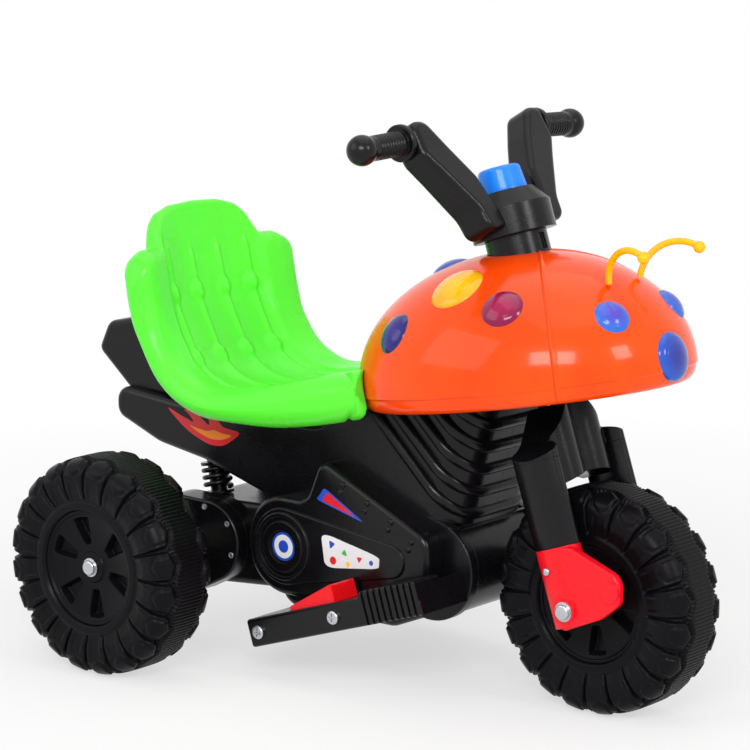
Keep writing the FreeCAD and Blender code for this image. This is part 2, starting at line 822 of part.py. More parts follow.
def build_seat():
    """Hollow bucket seat with a tall middle lobe, two ears and raised sides, tucked round the dome."""
    lobe = seat_lobe_half
    half = seat_half
    ear = seat_ear_top
    stations = [(0.0, seat_top, 0.0, 0.0), (lobe * 0.5, seat_top - 1, 0.08, 0.0),
                (lobe * 0.8, seat_top - 6, 0.26, 0.0),
                (lobe * 0.93, seat_top - 14, 0.4, 0.0), (lobe, ear + 10, 0.5, 0.0), (lobe + 6, ear, 0.6, 0.0),
                (half - 24, ear + 1, 0.95, 0.0), (half - 11, ear - 5, 1.0, 0.16), (half - 4, ear - 16, 0.9,
                                                                                   0.42),
                (half, ear - 36, 0.7, 0.74)]
    seat = Part.makeLoft([seat_wire(*station, 0.0) for station in both_sides(stations)], True, False)
    space = [(0.0, seat_top - 11, 0.0, 0.0), (lobe * 0.7, seat_top - 15, 0.2, 0.0),
             (lobe * 0.85, ear - 9, 0.3, 0.0),
             (lobe + 5, ear - 13, 0.58, 0.0), (half - 25, ear - 15, 0.94, 0.0)]
    hollow = Part.makeLoft([seat_wire(*station, seat_wall) for station in both_sides(space)], True, True)
    hollow = hollow.cut(domed(half_egg(-seat_gap - seat_wall, dome_skirt + 30)))
    beam = slab(body_outline(), -body_half, body_half)
    deep = beam.copy()
    deep.translate(V(0, 0, seat_wall))
    vents = [Part.makeCylinder(seat_vent_radius, 30, V(-seat_vent_back, y, seat_deck - 10),
                               UP) for y in (-30, 30)]
    seat = seat.cut([hollow.cut(deep)] + vents)
    nodes["seat"] = seat.cut([domed(half_egg(-seat_gap, dome_skirt + 30)), beam] + neck_ribs())


# Steering

def along_axis(corners, e_low, e_high):
    """Plate drawn in the plane across the trike (y, height) and as deep as e_low to e_high ahead."""
    plate = slab(corners, e_low, e_high)
    plate.rotate(ORIGIN, UP, 90)
    return plate.mirror(ORIGIN, V(1, 0, 0))


def oval(long, wide, y, h_low, h_high):
    """Oval bar along the steering axis, set back like the fork legs."""
    bar = Part.Face(Part.Wire(Part.Ellipse(ORIGIN, long, wide).toShape())).extrude(V(0, 0, h_high - h_low))
    bar.translate(V(-leg_back, y, h_low))
    return bar


def fork_crown():
    """Crown with sloping shoulders, two half-round flutes in front and an arch over the tyre."""
    middle = (leg_inner + leg_outer) / 2
    wide = (leg_outer - leg_inner) / 2
    forms = [block(-crown_back, crown_face, -middle, middle, leg_head, crown_high),
             block(-crown_back, crown_face, -leg_inner, leg_inner, crown_low - 4, crown_high)]
    for side in (1, -1):
        forms.append(oval(leg_long, wide, side * middle, leg_head, crown_high))
        forms.append(Part.makeCylinder(flute_radius, crown_high - crown_low + 4,
                                       V(leg_back - 1, side * flute_radius, crown_low - 4), UP))
    half = [(leg_outer + 1, crown_low - 6, 0), (leg_outer + 1, leg_shoulder, 8),
            (leg_inner - 2, leg_shoulder + 15, 12),
            (crown_top_half, crown_high, 6)]
    roof = along_axis(half + [(-y, h, r) for y, h, r in half[::-1]], -2 * crown_back, 2 * crown_back)
    crown = joined(forms).common(roof)
    arch = Part.makeCylinder(crown_arch, 4 * crown_back, V(-2 * crown_back, 0, crown_low + 3 - crown_arch),
                             V(1, 0, 0))
    stem_hole = Part.makeCylinder(stem_radius + fixed_gap, crown_high, V(0, 0, crown_high - 16), UP)
    return crown.cut([arch, stem_hole])


def fork_end():
    """Right fork end: a half-round sleeve under the leg and a lobed plate round the axle."""
    middle = (leg_inner + leg_outer) / 2
    outline = [(-14, leg_foot - 1, 3), (20, leg_foot - 1, 16), (66, 18, 16), (58, -5, 12), (34, -14, 14),
               (-12, -18, 6)]
    plate = rounded(slab(outline, -end_outer, -end_outer + end_plate), end_round, flat_at(-end_outer))
    sleeve = oval(sleeve_long, sleeve_wide, -middle, sleeve_low, leg_foot)
    sleeve = sleeve.cut(block(-100, 100, -leg_inner, 0, -50, 2 * leg_foot))
    hollow = oval(sleeve_long - sleeve_wall, sleeve_wide - 2 * sleeve_wall, -middle, end_boss_radius + sleeve_wall,
                  leg_foot + 1)
    end = plate.fuse(sleeve).cut(hollow)
    end = end.fuse(rod(end_boss_radius, 0, 0, -end_outer - end_boss_rise, -leg_inner))
    end = end.fuse(rod(end_boss_radius - 1, 52, 8, -end_outer - 1.5, -end_outer + end_plate / 2))
    end = end.fuse(rod(3.0, -9, 38, -end_outer - 2.5, -end_outer + end_plate / 2))
    return end.cut(rod(axle_radius + fixed_gap, 0, 0, -end_outer - 10, 0))


def build_fork():
    """Crown, steering stem, two oval legs and two red fork ends."""
    nodes["fork_crown"] = steered(fork_crown())
    stem = Part.makeCylinder(stem_radius, bar_low + 12 - crown_high + 16, V(0, 0, crown_high - 16), UP)
    nodes["steering_stem"] = steered(stem)
    leg = oval(leg_long, (leg_outer - leg_inner) / 2, -(leg_inner + leg_outer) / 2, leg_foot, leg_head)
    nodes["fork_leg_right"] = steered(leg.copy())
    nodes["fork_leg_left"] = steered(mirrored(leg))
    end = fork_end()
    nodes["fork_end_right"] = steered(end.copy())
    nodes["fork_end_left"] = steered(mirrored(end))


def bar_plate():
    """Handlebar yoke with two raised arms that grow deeper towards the hub, tilted back."""
    top = grip_height + 16
    low = bar_low + 3
    right = [(arm_low_half, low, 10), (arm_low_half + 3, low + 21, 20), (84, 403, 30),
             (arm_out_half, 424, 14),
             (arm_end_half, top, 10), (arm_end_half - 20, top, 15), (60, 431, 24), (40, yoke_top + 30, 10),
             (bar_hub_radius - 4, yoke_top, 8)]
    plate = along_axis(right + [(-y, h, r) for y, h, r in right[::-1]], -2 * arm_back, 2 * yoke_front)
    depth = slab([(-arm_back, low - 9, 1), (yoke_front, low - 9, 1), (yoke_front, yoke_top + 2, 14),
                  (arm_front, 428, 40), (arm_front, top + 9, 1), (-arm_back, top + 9, 1)],
                 -arm_out_half * 2, arm_out_half * 2)
    plate = plate.common(depth)
    level = lambda e: min(abs(e.BoundBox.ZMin - z) for z in (low, top, yoke_top)) < 1e-3
    along_y = lambda e: e.BoundBox.XLength < 1e-4 and e.BoundBox.ZLength < 1e-4
    along_e = lambda e: e.BoundBox.YLength < 1e-4 and e.BoundBox.ZLength < 1e-4
    plate = rounded(plate, bar_round, lambda e: not along_e(e) and (level(e) or not along_y(e)))
    plate.rotate(V(0, 0, bar_low), ACROSS, -bar_tilt)
    return plate


def build_handlebar():
    """Column, handlebar with a low hub and two raised arms, and ringed grips."""
    column = Part.makeCylinder(column_radius, bar_low - head_high - part_gap, V(0, 0, head_high + part_gap),
                               UP)
    bore = Part.makeCylinder(stem_radius + fixed_gap, bar_low + 14 - head_high, V(0, 0, head_high - 1), UP)
    slot = block(column_radius - slot_depth, column_radius + 1, -slot_width / 2, slot_width / 2,
                 bar_low - 4 - slot_height, bar_low - 4)
    nodes["steering_column"] = steered(column.cut([bore, slot]))
    hub = Part.makeCylinder(bar_hub_radius, yoke_top - bar_low, V(0, 0, bar_low), UP)
    collar = Part.makeCone(bar_hub_radius, collar_radius, collar_top - yoke_top, V(0, 0, yoke_top), UP)
    well = Part.makeCylinder(button_radius + button_gap, collar_top, V(0, 0, bar_deck), UP)
    below = Part.makeCylinder(collar_radius * 3, bar_deck, V(0, 0, bar_low - bar_deck), UP)
    bar = joined([bar_plate(), hub, collar]).cut([well, bore, below])
    for side in (1, -1):
        low = min(side * (arm_end_half - 14), side * (arm_end_half + spigot_length))
        spigot = rod(spigot_radius, -grip_back, grip_height, low, low + spigot_length + 14)
        spigot.rotate(V(-grip_back, side * arm_end_half, grip_height), V(1, 0, 0), -side * grip_droop)
        bar = bar.fuse(spigot)
    nodes["handlebar"] = steered(bar.removeSplitter())
    nodes["grip_left"] = steered(grip(1))
    nodes["grip_right"] = steered(grip(-1))


def grip(side):
    """Ringed grip with an inner flange and a ball end, pushed on a spigot of the handlebar."""
    inner = arm_end_half + 1.5
    ball = grip_end_half - grip_ball
    body = joined([rod(grip_radius, 0, 0, inner, ball), Part.makeSphere(grip_ball, V(0, ball, 0)),
                   rod(grip_flange_radius, 0, 0, inner, inner + grip_flange_thickness)])
    pitch = (ball - grip_ball - inner - grip_flange_thickness + 4) / grip_ring_count
    for i in range(grip_ring_count):
        y = inner + grip_flange_thickness + pitch * (i + 0.3)
        core = rod(grip_radius - grip_ring_depth, 0, 0, y - 1, y + pitch)
        body = body.cut(rod(grip_radius + 1, 0, 0, y, y + pitch * 0.45).cut(core))
    body = body.cut(rod(spigot_radius + fixed_gap, 0, 0, inner - 1, arm_end_half + spigot_length + 1))
    body.translate(V(-grip_back, 0, grip_height))
    body.rotate(V(-grip_back, arm_end_half, grip_height), V(1, 0, 0), -grip_droop)
    return body if side > 0 else mirrored(body)


def build_button():
    """Blue tapered horn button in the handlebar's collar, over its switch."""
    foot = Part.makeCylinder(button_radius, button_foot, V(0, 0, button_base), UP)
    cone = Part.makeCone(button_radius, button_top_radius, button_top - button_base - button_foot,
                         V(0, 0, button_base + button_foot), UP)
    button = rounded(joined([foot, cone]), button_round, lambda e: e.BoundBox.ZMin > button_top - 1e-4)
    hollow = Part.makeCylinder(button_radius / 2, button_hollow, V(0, 0, button_base), UP)
    nodes["horn_button"] = steered(button.cut(hollow))
    switch = Part.makeCylinder(button_radius / 2 - 1, button_hollow, V(0, 0, bar_deck), UP)
    nodes["horn_switch"] = steered(switch)


# Footrests and pedal

def pedal_pocket():
    """Well in the right footrest for the pedal."""
    return block(pedal_start - pocket_clear, pedal_start + pedal_length + pocket_clear,
                 -pedal_middle - pedal_half - pocket_clear, -pedal_middle + pedal_half + pocket_clear,
                 step_thickness - pocket_floor, step_thickness + 1)


def step_bar():
    """Right footrest bar, hollow underneath, with ribs on its outer front face."""
    bar = block(0, step_length, -step_outer, -body_half, 0, step_thickness)
    bar = rounded(bar, step_edge, lambda e: e.BoundBox.YMax < -step_outer + 1e-4 or e.BoundBox.XMax < 1e-4)
    spans = ((step_wall, pedal_start - step_wall - 2),
             (pedal_start + pedal_length + step_wall + 2, step_ribs_from))
    for low, high in spans:
        bar = bar.cut(block(low, high, -step_outer + step_wall + 3, -body_half - step_wall, -1,
                            step_thickness - step_wall))
    raised = block(step_ribs_from - step_rib_width, step_length, -step_outer, -step_outer + step_block_width,
                   step_thickness / 2, step_thickness + step_block_rise)
    bar = joined([bar, rounded(raised, step_edge,
                               lambda e: e.BoundBox.ZMin > step_thickness + step_block_rise - 1e-4)])
    pitch = (step_length - step_ribs_from) / step_rib_count
    for i in range(step_rib_count):
        x = step_ribs_from + pitch * i
        groove = block(x, x + step_rib_width, -step_outer - 1, -step_outer + step_rib_depth, -1,
                       2 * step_thickness)
        bar = bar.cut(groove)
    for x in step_screw_places:
        bar = bar.cut(rod(screw_radius + fixed_gap, x, step_thickness / 2, -step_outer - 1, 0))
    return bar


def build_footrests():
    """Footrests with screws, and the sprung red pedal on the right one."""
    face = body_half + cover_depth
    room = slab(cover_outline(), -face - part_gap, -body_half)
    room = joined([room, slab([(x, z - 1.5, r) for x, z, r in cover_outline()], -face - part_gap,
                              -body_half)])
    plain = step_bar()
    left = stepped(plain.copy()).cut(room)
    right = plain.cut(pedal_pocket())
    pin_x = pedal_start + pedal_pin_in
    pin_z = step_thickness + pedal_pin_up - pedal_pin_radius - 4
    pin_reach = pedal_half + pocket_clear + 3
    right = right.cut(rod(pedal_pin_radius + fixed_gap, pin_x, pin_z, -pedal_middle - pin_reach,
                          -pedal_middle + pin_reach))
    nodes["footrest_right"] = stepped(right).cut(room)
    nodes["footrest_left"] = mirrored(left)
    nodes["pedal_pin"] = stepped(rod(pedal_pin_radius, pin_x, pin_z, -pedal_middle - pin_reach + part_gap,
                                     -pedal_middle + pin_reach - part_gap))
    low = step_thickness - pedal_drop
    heel = pin_z - pedal_pin_radius - 2
    wedge = slab([(pedal_start, heel, 1.5), (pedal_start, step_thickness + pedal_heel - 2, 2),
                  (pedal_start + pedal_length, step_thickness + pedal_rise, 2), (pedal_start + pedal_length,
                                                                                 low, 1),
                  (pedal_start + 16, low, 4), (pedal_start + 12, heel, 2)],
                 -pedal_middle - pedal_half, -pedal_middle + pedal_half)
    wedge = wedge.cut(rod(pedal_pin_radius + run_gap, pin_x, pin_z, -step_outer, 0))
    nodes["accelerator_pedal"] = stepped(wedge)
    ahead = pedal_start + pedal_length - switch_length - 4
    well = step_thickness - pocket_floor
    nodes["pedal_switch"] = stepped(block(ahead, ahead + switch_length, -pedal_middle - switch_half,
                                          -pedal_middle + switch_half, well, well + switch_height))
    screws = []
    for x in step_screw_places:
        screw = stepped(cross_head(screw_head_radius, screw_head_rise, screw_radius, screw_length,
                                   x, step_thickness / 2, -step_outer))
        screws += [screw, mirrored(screw)]
    nodes["footrest_screws"] = Part.makeCompound(screws)


# Drive

def gear(teeth, turn, y_low, y_high):
    """Spur gear about Y with involute flanks, a tooth pointing at the angle turn (degrees from +X to +Z)."""
    pitch = gear_module * teeth / 2
    base = pitch * math.cos(math.radians(pressure_angle))
    tip = pitch + addendum * gear_module
    root = pitch - dedendum * gear_module

    def roll(radius):
        open_angle = math.acos(min(1.0, base / radius))
        return math.tan(open_angle) - open_angle

    half = math.pi / (2 * teeth) - tooth_play / (2 * pitch) + roll(pitch)
    low = max(root, base)
    flank = [(low + (tip - low) * share, half - roll(low + (tip - low) * share)) for share in (0, 0.25, 0.5,
                                                                                               0.75, 1)]
    if root < base:
        flank = [(root, half)] + flank
    points = []
    for i in range(teeth):
        middle = math.radians(turn) + 2 * math.pi * i / teeth
        side = [(radius, middle - lean) for radius, lean in flank] + [(radius, middle + lean) for radius,
                                                                      lean in flank[::-1]]
        points += [V(radius * math.cos(angle), y_low, radius * math.sin(angle)) for radius, angle in side]
    return Part.Face(Part.makePolygon(points + points[:1])).extrude(V(0, y_high - y_low, 0))


def gear_centres():
    """Centres (x, z) of the idler and of the motor, from the rear axle."""
    first = gear_module * (drive_teeth + small_teeth) / 2 + centre_play
    second = gear_module * (large_teeth + small_teeth) / 2 + centre_play
    idler = (rear_x + first * math.cos(math.radians(idler_angle)),
             wheel_radius + first * math.sin(math.radians(idler_angle)))
    motor = (idler[0] + second * math.cos(math.radians(motor_angle)),
             idler[1] + second * math.sin(math.radians(motor_angle)))
    return idler, motor


def gearbox_form(y_low, y_high, inset=0.0):
    """Box from the rear axle forward to a round end behind the engine cover, drawn in by inset."""
    return capsule(rear_x, wheel_radius, gearbox_rear_radius - inset, -gearbox_front_back,
                   gearbox_front_height,
                   gearbox_front_radius - inset, y_low, y_high)


def build_gears():
    """Pinion, idler and the drive gear whose sleeve turns the right wheel."""
    idler, motor = gear_centres()
    half = gear_width / 2
    drive = gear(drive_teeth, idler_angle, -drive_plane - half, -drive_plane + half)
    drive.translate(V(rear_x, 0, wheel_radius))
    seat_y = -rear_track / 2 + boss_half
    drive = joined([drive, rod(sleeve_radius, rear_x, wheel_radius, seat_y, -drive_plane + half)])
    nodes["drive_gear"] = drive.cut(rod(axle_radius + run_gap, rear_x, wheel_radius, -rear_track, 0))
    small = gear(small_teeth, idler_angle + 180 + 180 / small_teeth, -drive_plane - half, -fast_plane + half)
    large = gear(large_teeth, motor_angle, -fast_plane - half, -fast_plane + half)
    both = joined([small, large])
    both.translate(V(idler[0], 0, idler[1]))
    nodes["idler_gear"] = both.cut(rod(idler_pin_radius + run_gap, idler[0], idler[1], -rear_track, 0))
    pinion = gear(small_teeth, motor_angle + 180 + 180 / small_teeth, -fast_plane - half, -fast_plane + half)
    rotor = joined([pinion, rod(motor_shaft_radius, 0, 0, -fast_plane, -body_half + motor_shaft_in)])
    rotor.translate(V(motor[0], 0, motor[1]))
    nodes["motor_pinion"] = rotor
    end = -body_half + motor_length
    can = rounded(rod(motor_radius, motor[0], motor[1], -body_half, end), 2.0, flat_at(end))
    nodes["motor"] = can.cut(rod(motor_shaft_radius + run_gap, motor[0], motor[1], -body_half - 1,
                                 -body_half + motor_shaft_in + 1))


def build_gearbox():
    """Two-part case round the gears on the right, and a plain bracket of the same outline on the left."""
    idler, motor = gear_centres()
    inner = -body_half
    outer = -body_half - gearbox_depth
    split = (inner + outer) / 2
    case = rounded(gearbox_form(outer, inner), 3.0, flat_at(outer))
    case = case.cut(gearbox_form(outer + gearbox_wall, inner - gearbox_wall, gearbox_wall))
    case = case.cut([rod(motor_shaft_radius + 1, motor[0], motor[1], split, 0),
                     rod(axle_radius + fixed_gap, rear_x, wheel_radius, split, 0),
                     rod(sleeve_radius + part_gap, rear_x, wheel_radius, outer - 1, split)])
    room = wheelbase * 2
    pin = rod(idler_pin_radius, idler[0], idler[1], outer + gearbox_wall + fixed_gap, inner - gearbox_wall)
    nodes["gearbox_inner_case"] = joined([case.common(block(-room, room, split, 0, 0, room)), pin])
    lid = case.common(block(-room, room, -room, split, 0, room))
    screws = []
    for x, z in gearbox_screw_places:
        screws.append(cross_head(gearbox_screw_radius, gearbox_screw_rise, 1.0, gearbox_wall - 0.4, x, z,
                                 outer))
        lid = lid.cut(rod(1.0 + fixed_gap, x, z, outer - 1, outer + gearbox_wall))
    nodes["gearbox_outer_case"] = lid
    nodes["gearbox_screws"] = Part.makeCompound(screws)
    bracket = rounded(gearbox_form(-outer - gearbox_depth, -outer), 3.0, flat_at(-outer))
    bracket = bracket.cut(gearbox_form(body_half, -outer - gearbox_wall, gearbox_wall))
    bracket = joined([bracket, rod(sleeve_radius, rear_x, wheel_radius, body_half,
                                   rear_track / 2 - boss_half - part_gap)])
    nodes["axle_bracket_left"] = bracket.cut(rod(axle_radius + fixed_gap, rear_x, wheel_radius, 0,
                                                 rear_track))


# Battery, sound board and direction switch

def rocker_box(play, gap):
    """Rocker of the direction switch on the left side of the body, with room to swing."""
    half = rocker_length / 2 + play
    return block(-rocker_back - half, -rocker_back + half, body_half - rocker_depth - play,
                 body_half + rocker_proud,
                 rocker_height - rocker_width / 2 - gap, rocker_height + rocker_width / 2 + gap)


def rocker_pin(gap):
    """Upright pivot of the rocker."""
    reach = rocker_width / 2 + rocker_pin_out + gap
    return Part.makeCylinder(rocker_pin_radius + gap, 2 * reach,
                             V(-rocker_back, body_half - rocker_pin_depth, rocker_height - reach), UP)


def build_electrics():
    """Battery on the floor of the body, sound board on the tray, rocker and its socket in the left side."""
    length, width, height = battery_size
    nodes["battery"] = block(-battery_back, -battery_back + length, -width / 2, width / 2,
                             floor_height + wall, floor_height + wall + height)
    long, wide, thick = board_size
    board = block(board_ahead, board_ahead + long, -wide / 2, wide / 2, 0, thick)
    board.translate(V(0, 0, tray_thickness - dome_skirt))
    nodes["sound_board"] = domed(board)
    rocker = rounded(rocker_box(0, 0), 1.0, flat_at(body_half + rocker_proud))
    nodes["direction_rocker"] = joined([rocker, rocker_pin(0)])
    inner = body_half - wall
    socket = block(-rocker_back - 16, -rocker_back + 16, inner - 16, inner, rocker_height - 11,
                   rocker_height + 11)
    nodes["switch_socket"] = socket.cut([rocker_box(rocker_play, rocker_gap), rocker_pin(run_gap)])


# Dummy shock absorbers

def biarc(start, start_way, end, end_way):
    """Two tangent arcs between two points with given directions."""
    line = end - start
    both = start_way + end_way
    bend = 2 * (1 - start_way.dot(end_way))
    reach = (-line.dot(both) + math.sqrt(line.dot(both) ** 2 + bend * line.dot(line))) / bend
    meet = (start + start_way * reach + end - end_way * reach) * 0.5
    arcs = []
    for first, last, corner in ((start, meet, start + start_way * reach), (meet, end, end - end_way * reach)):
        middle = (first + last) * 0.5
        chord = (last - first).Length / 2
        lean = (corner - first).getAngle(last - first)
        bow = middle + (corner - middle).normalize() * (chord * math.tan(lean / 2))
        arcs.append(Part.Arc(first, bow, last).toShape())
    return arcs


def coil():
    """Spring of one unbroken round wire, drawn up the Z axis."""
    def at(turn):
        angle = 2 * math.pi * turn
        return V(coil_radius * math.cos(angle), coil_radius * math.sin(angle), coil_pitch * turn)

    def way(turn):
        angle = 2 * math.pi * turn
        around = 2 * math.pi * coil_radius
        return V(-around * math.sin(angle), around * math.cos(angle), coil_pitch).normalize()

    quarters = coil_turns * 4
    path = []
    for i in range(quarters):
        path += biarc(at(i / 4), way(i / 4), at((i + 1) / 4), way((i + 1) / 4))
    section = Part.Wire(Part.makeCircle(coil_wire, at(0), way(0)))
    spring = Part.Wire(path).makePipeShell([section], True, False)
    samples = [at(i / 48) for i in range(coil_turns * 48 + 1)]
    gap = min((a - b).Length for i, a in enumerate(samples) for b in samples[i + 30:]) - 2 * coil_wire
    print("shock coil: least gap to itself %.2f mm" % gap)
    return spring


def build_shocks():
    """Dummy shock absorbers between the beam and the rear arm."""
    low = V(-shock_low_back, -shock_half, shock_low_height)
    high = V(-shock_high_back, -shock_half, shock_high_height)
    length = (high - low).Length
    spring = coil()
    start = (length - coil_pitch * coil_turns) / 2
    spring.translate(V(0, 0, start))
    seat_end = start - coil_wire - coil_seat_gap
    post = joined([Part.makeCylinder(shock_rod_radius, length, ORIGIN, UP),
                   Part.makeCylinder(coil_seat_radius, coil_seat_thickness,
                                     V(0, 0, seat_end - coil_seat_thickness), UP),
                   Part.makeCylinder(coil_seat_radius, coil_seat_thickness, V(0, 0, length - seat_end), UP)])
    room = wheelbase * 2
    keep = block(-room, room, -room, 0, 0, room)
    keep = keep.cut(slab(body_outline(), -body_half, body_half)).cut(rear_arm(0, -body_half, body_half))
    placement = FreeCAD.Placement(low, FreeCAD.Rotation(UP, high - low))
    spring.Placement = placement.multiply(spring.Placement)
    post.Placement = placement
    post = post.common(keep)
    nodes["shock_posts"] = Part.makeCompound([post, mirrored(post)])
    nodes["shock_coils"] = Part.makeCompound([spring, mirrored(spring)])


build_wheels()
build_axles()
build_body()
build_covers()
build_tail()
build_dome()
build_antennae()
build_seat()
build_fork()
build_handlebar()
build_button()
build_footrests()
build_gears()
build_gearbox()
build_electrics()
build_shocks()

os.makedirs("parts", exist_ok=True)
for name, shape in nodes.items():
    placed = shape.copy()
    placed.translate(V(origin_shift, 0, 0))
    placed.exportStep(os.path.join("parts", name + ".step"))
    print("%-20s solids %d volume %.0f mm3 valid %s" % (name, len(placed.Solids), placed.Volume,
                                                        placed.isValid()))
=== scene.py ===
"""Looks of a small child's battery ride-on trike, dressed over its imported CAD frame."""
import json
import logging
import math
from dataclasses import dataclass
from enum import Enum
from functools import lru_cache
from typing import Optional, Sequence, Union

import bmesh
import bpy
import numpy as np
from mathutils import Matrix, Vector


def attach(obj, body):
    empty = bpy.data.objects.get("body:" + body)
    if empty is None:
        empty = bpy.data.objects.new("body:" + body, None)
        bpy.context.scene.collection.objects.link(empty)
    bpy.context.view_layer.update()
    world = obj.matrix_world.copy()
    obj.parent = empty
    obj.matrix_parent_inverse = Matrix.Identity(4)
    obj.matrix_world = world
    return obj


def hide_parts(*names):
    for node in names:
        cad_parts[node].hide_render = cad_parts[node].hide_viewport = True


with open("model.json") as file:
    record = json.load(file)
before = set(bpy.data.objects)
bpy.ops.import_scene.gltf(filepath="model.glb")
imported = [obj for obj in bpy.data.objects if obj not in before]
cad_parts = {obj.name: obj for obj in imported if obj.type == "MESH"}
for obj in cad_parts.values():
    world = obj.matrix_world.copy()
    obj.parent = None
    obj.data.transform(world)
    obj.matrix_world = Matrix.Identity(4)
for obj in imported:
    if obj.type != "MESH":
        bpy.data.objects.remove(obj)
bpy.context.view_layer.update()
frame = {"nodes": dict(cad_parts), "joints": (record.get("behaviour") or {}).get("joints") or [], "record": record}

LOG = logging.getLogger("trike")
MM = 0.001
RAKE = math.radians(18.5)
SIDES = ((-1, "right"), (1, "left"))
WHEELS = (("front_{}", "front_wheel", "front_wheel_spin"),
          ("rear_{}_right", "rear_wheel_right", "rear_right_spin"),
          ("rear_{}_left", "rear_wheel_left", "rear_left_spin"))
Colour = tuple[float, float, float, float]
Faces = list[tuple[int, ...]]
Flat = tuple[tuple[float, float], ...]
Numbers = Union[float, np.ndarray]


def joint_place(name: str) -> Vector:
    """Place of one of the frame's joints, in metres."""
    return Vector(next(joint["pos_m"] for joint in frame["joints"] if joint["name"] == name))


FRONT_AXLE = joint_place("front_wheel_spin")


def from_front(points: np.ndarray) -> np.ndarray:
    """Millimetres measured back from the front axle and up from the floor, as metres of the frame."""
    return np.asarray(points, float) * MM + np.array((FRONT_AXLE.x, 0.0, 0.0))


def steered(ahead: Numbers, out: Numbers, up: Numbers) -> np.ndarray:
    """Points drawn about the raked steering axis.

    Args:
        ahead: distances ahead of the axis.
        out: distances to the left of it.
        up: distances along it from the front axle.

    Returns:
        The points in millimetres from the front axle, one a row.
    """
    c, s = math.cos(RAKE), math.sin(RAKE)
    return np.column_stack((ahead * c - up * s, out, FRONT_AXLE.z / MM + up * c + ahead * s))


def screen(red: int, green: int, blue: int) -> Colour:
    """Linear colour of a colour given as it looks on a screen."""
    shares = (c / 255 for c in (red, green, blue))
    return (*(s / 12.92 if s < 0.04045 else ((s + 0.055) / 1.055) ** 2.4 for s in shares), 1.0)


def ramp(value: Numbers, low: float, high: float) -> Numbers:
    """Smooth step from 0 at low to 1 at high.

    Args:
        value: numbers to map.
        low: value at which the step starts.
        high: value at which it ends; it may be below low.

    Returns:
        The steps, from 0 to 1.
    """
    share = np.clip((value - low) / (high - low), 0.0, 1.0)
    return share * share * (3 - 2 * share)


def table(value: float, rows: Flat) -> float:
    """Value read from a table of places and values."""
    return float(np.interp(value, *zip(*rows)))


def turns(count: int) -> np.ndarray:
    """Angles at even steps round a circle, in radians."""
    return np.linspace(0, 2 * math.pi, count, endpoint=False)


def run_lengths(line: np.ndarray) -> np.ndarray:
    """Distance of each of a line's points from its start, along the line."""
    return np.concatenate(((0.0,), np.cumsum(np.linalg.norm(np.diff(line, axis=0), axis=1))))


def square_to(way: np.ndarray) -> tuple[np.ndarray, np.ndarray]:
    """Two directions that are square to a given one and to each other.

    Args:
        way: the given direction, of length 1.

    Returns:
        Both directions.
    """
    first = np.cross((0.0, 1.0, 0.0), way)
    first /= np.linalg.norm(first)
    return first, np.cross(way, first)


def smooth_line(points: np.ndarray, count: int, closed: bool = False) -> np.ndarray:
    """Evenly spaced points on a smooth curve through the given ones.

    Args:
        points: points that the curve passes, one a row.
        count: how many points to give back.
        closed: whether the curve returns to its start.

    Returns:
        The points on the curve; a closed curve doesn't repeat its start.
    """
    points = np.asarray(points, float)
    if closed:
        ends = np.vstack((points[-1:], points, points[:2]))
    else:
        ends = np.vstack((2 * points[0] - points[1], points, 2 * points[-1] - points[-2]))
    t = np.linspace(0, 1, 40, endpoint=False)[:, None]
    runs = []
    for a, b, c, d in zip(ends[:-3], ends[1:-2], ends[2:-1], ends[3:]):
        bend = (2 * a - 5 * b + 4 * c - d) * t ** 2 + (3 * b - a - 3 * c + d) * t ** 3
        runs.append(0.5 * (2 * b + (c - a) * t + bend))
    line = np.vstack((*runs, ends[-2:-1]))
    return even_line(line, count, closed)


def even_line(line: np.ndarray, count: int, closed: bool = False) -> np.ndarray:
    """Points at even steps along a line of short runs.

    Args:
        line: the line's points, one a row.
        count: how many points to give back.
        closed: whether the last point repeats the first.

    Returns:
        The evenly spaced points.
    """
    reach = run_lengths(line)
    wanted = np.linspace(0, reach[-1], count, endpoint=not closed)
    return np.column_stack([np.interp(wanted, reach, line[:, k]) for k in range(line.shape[1])])


def grid_faces(rows: int, columns: int, round_rows: bool, round_columns: bool) -> Faces:
    """Quads of a grid of points stored row by row.

    Args:
        rows: number of rows.
        columns: number of points in a row.
        round_rows: whether the last row joins the first.
        round_columns: whether a row's last point joins its first.

    Returns:
        The quads as point numbers.
    """
    faces: Faces = []
    for r in range(rows if round_rows else rows - 1):
        for c in range(columns if round_columns else columns - 1):
            near, far = r * columns, (r + 1) % rows * columns
            after = (c + 1) % columns
            faces.append((near + c, near + after, far + after, far + c))
    return faces


def tube_faces(rings: int, around: int, start: int = 0) -> Faces:
    """Quads and both end faces of a tube whose rings are stored one after the other.

    Args:
        rings: number of rings.
        around: number of points in a ring.
        start: number of the tube's first point.

    Returns:
        The faces as point numbers.
    """
    faces = grid_faces(rings, around, False, True)
    faces += [tuple(range(around)), tuple(range((rings - 1) * around, rings * around))]
    return [tuple(start + k for k in face) for face in faces]


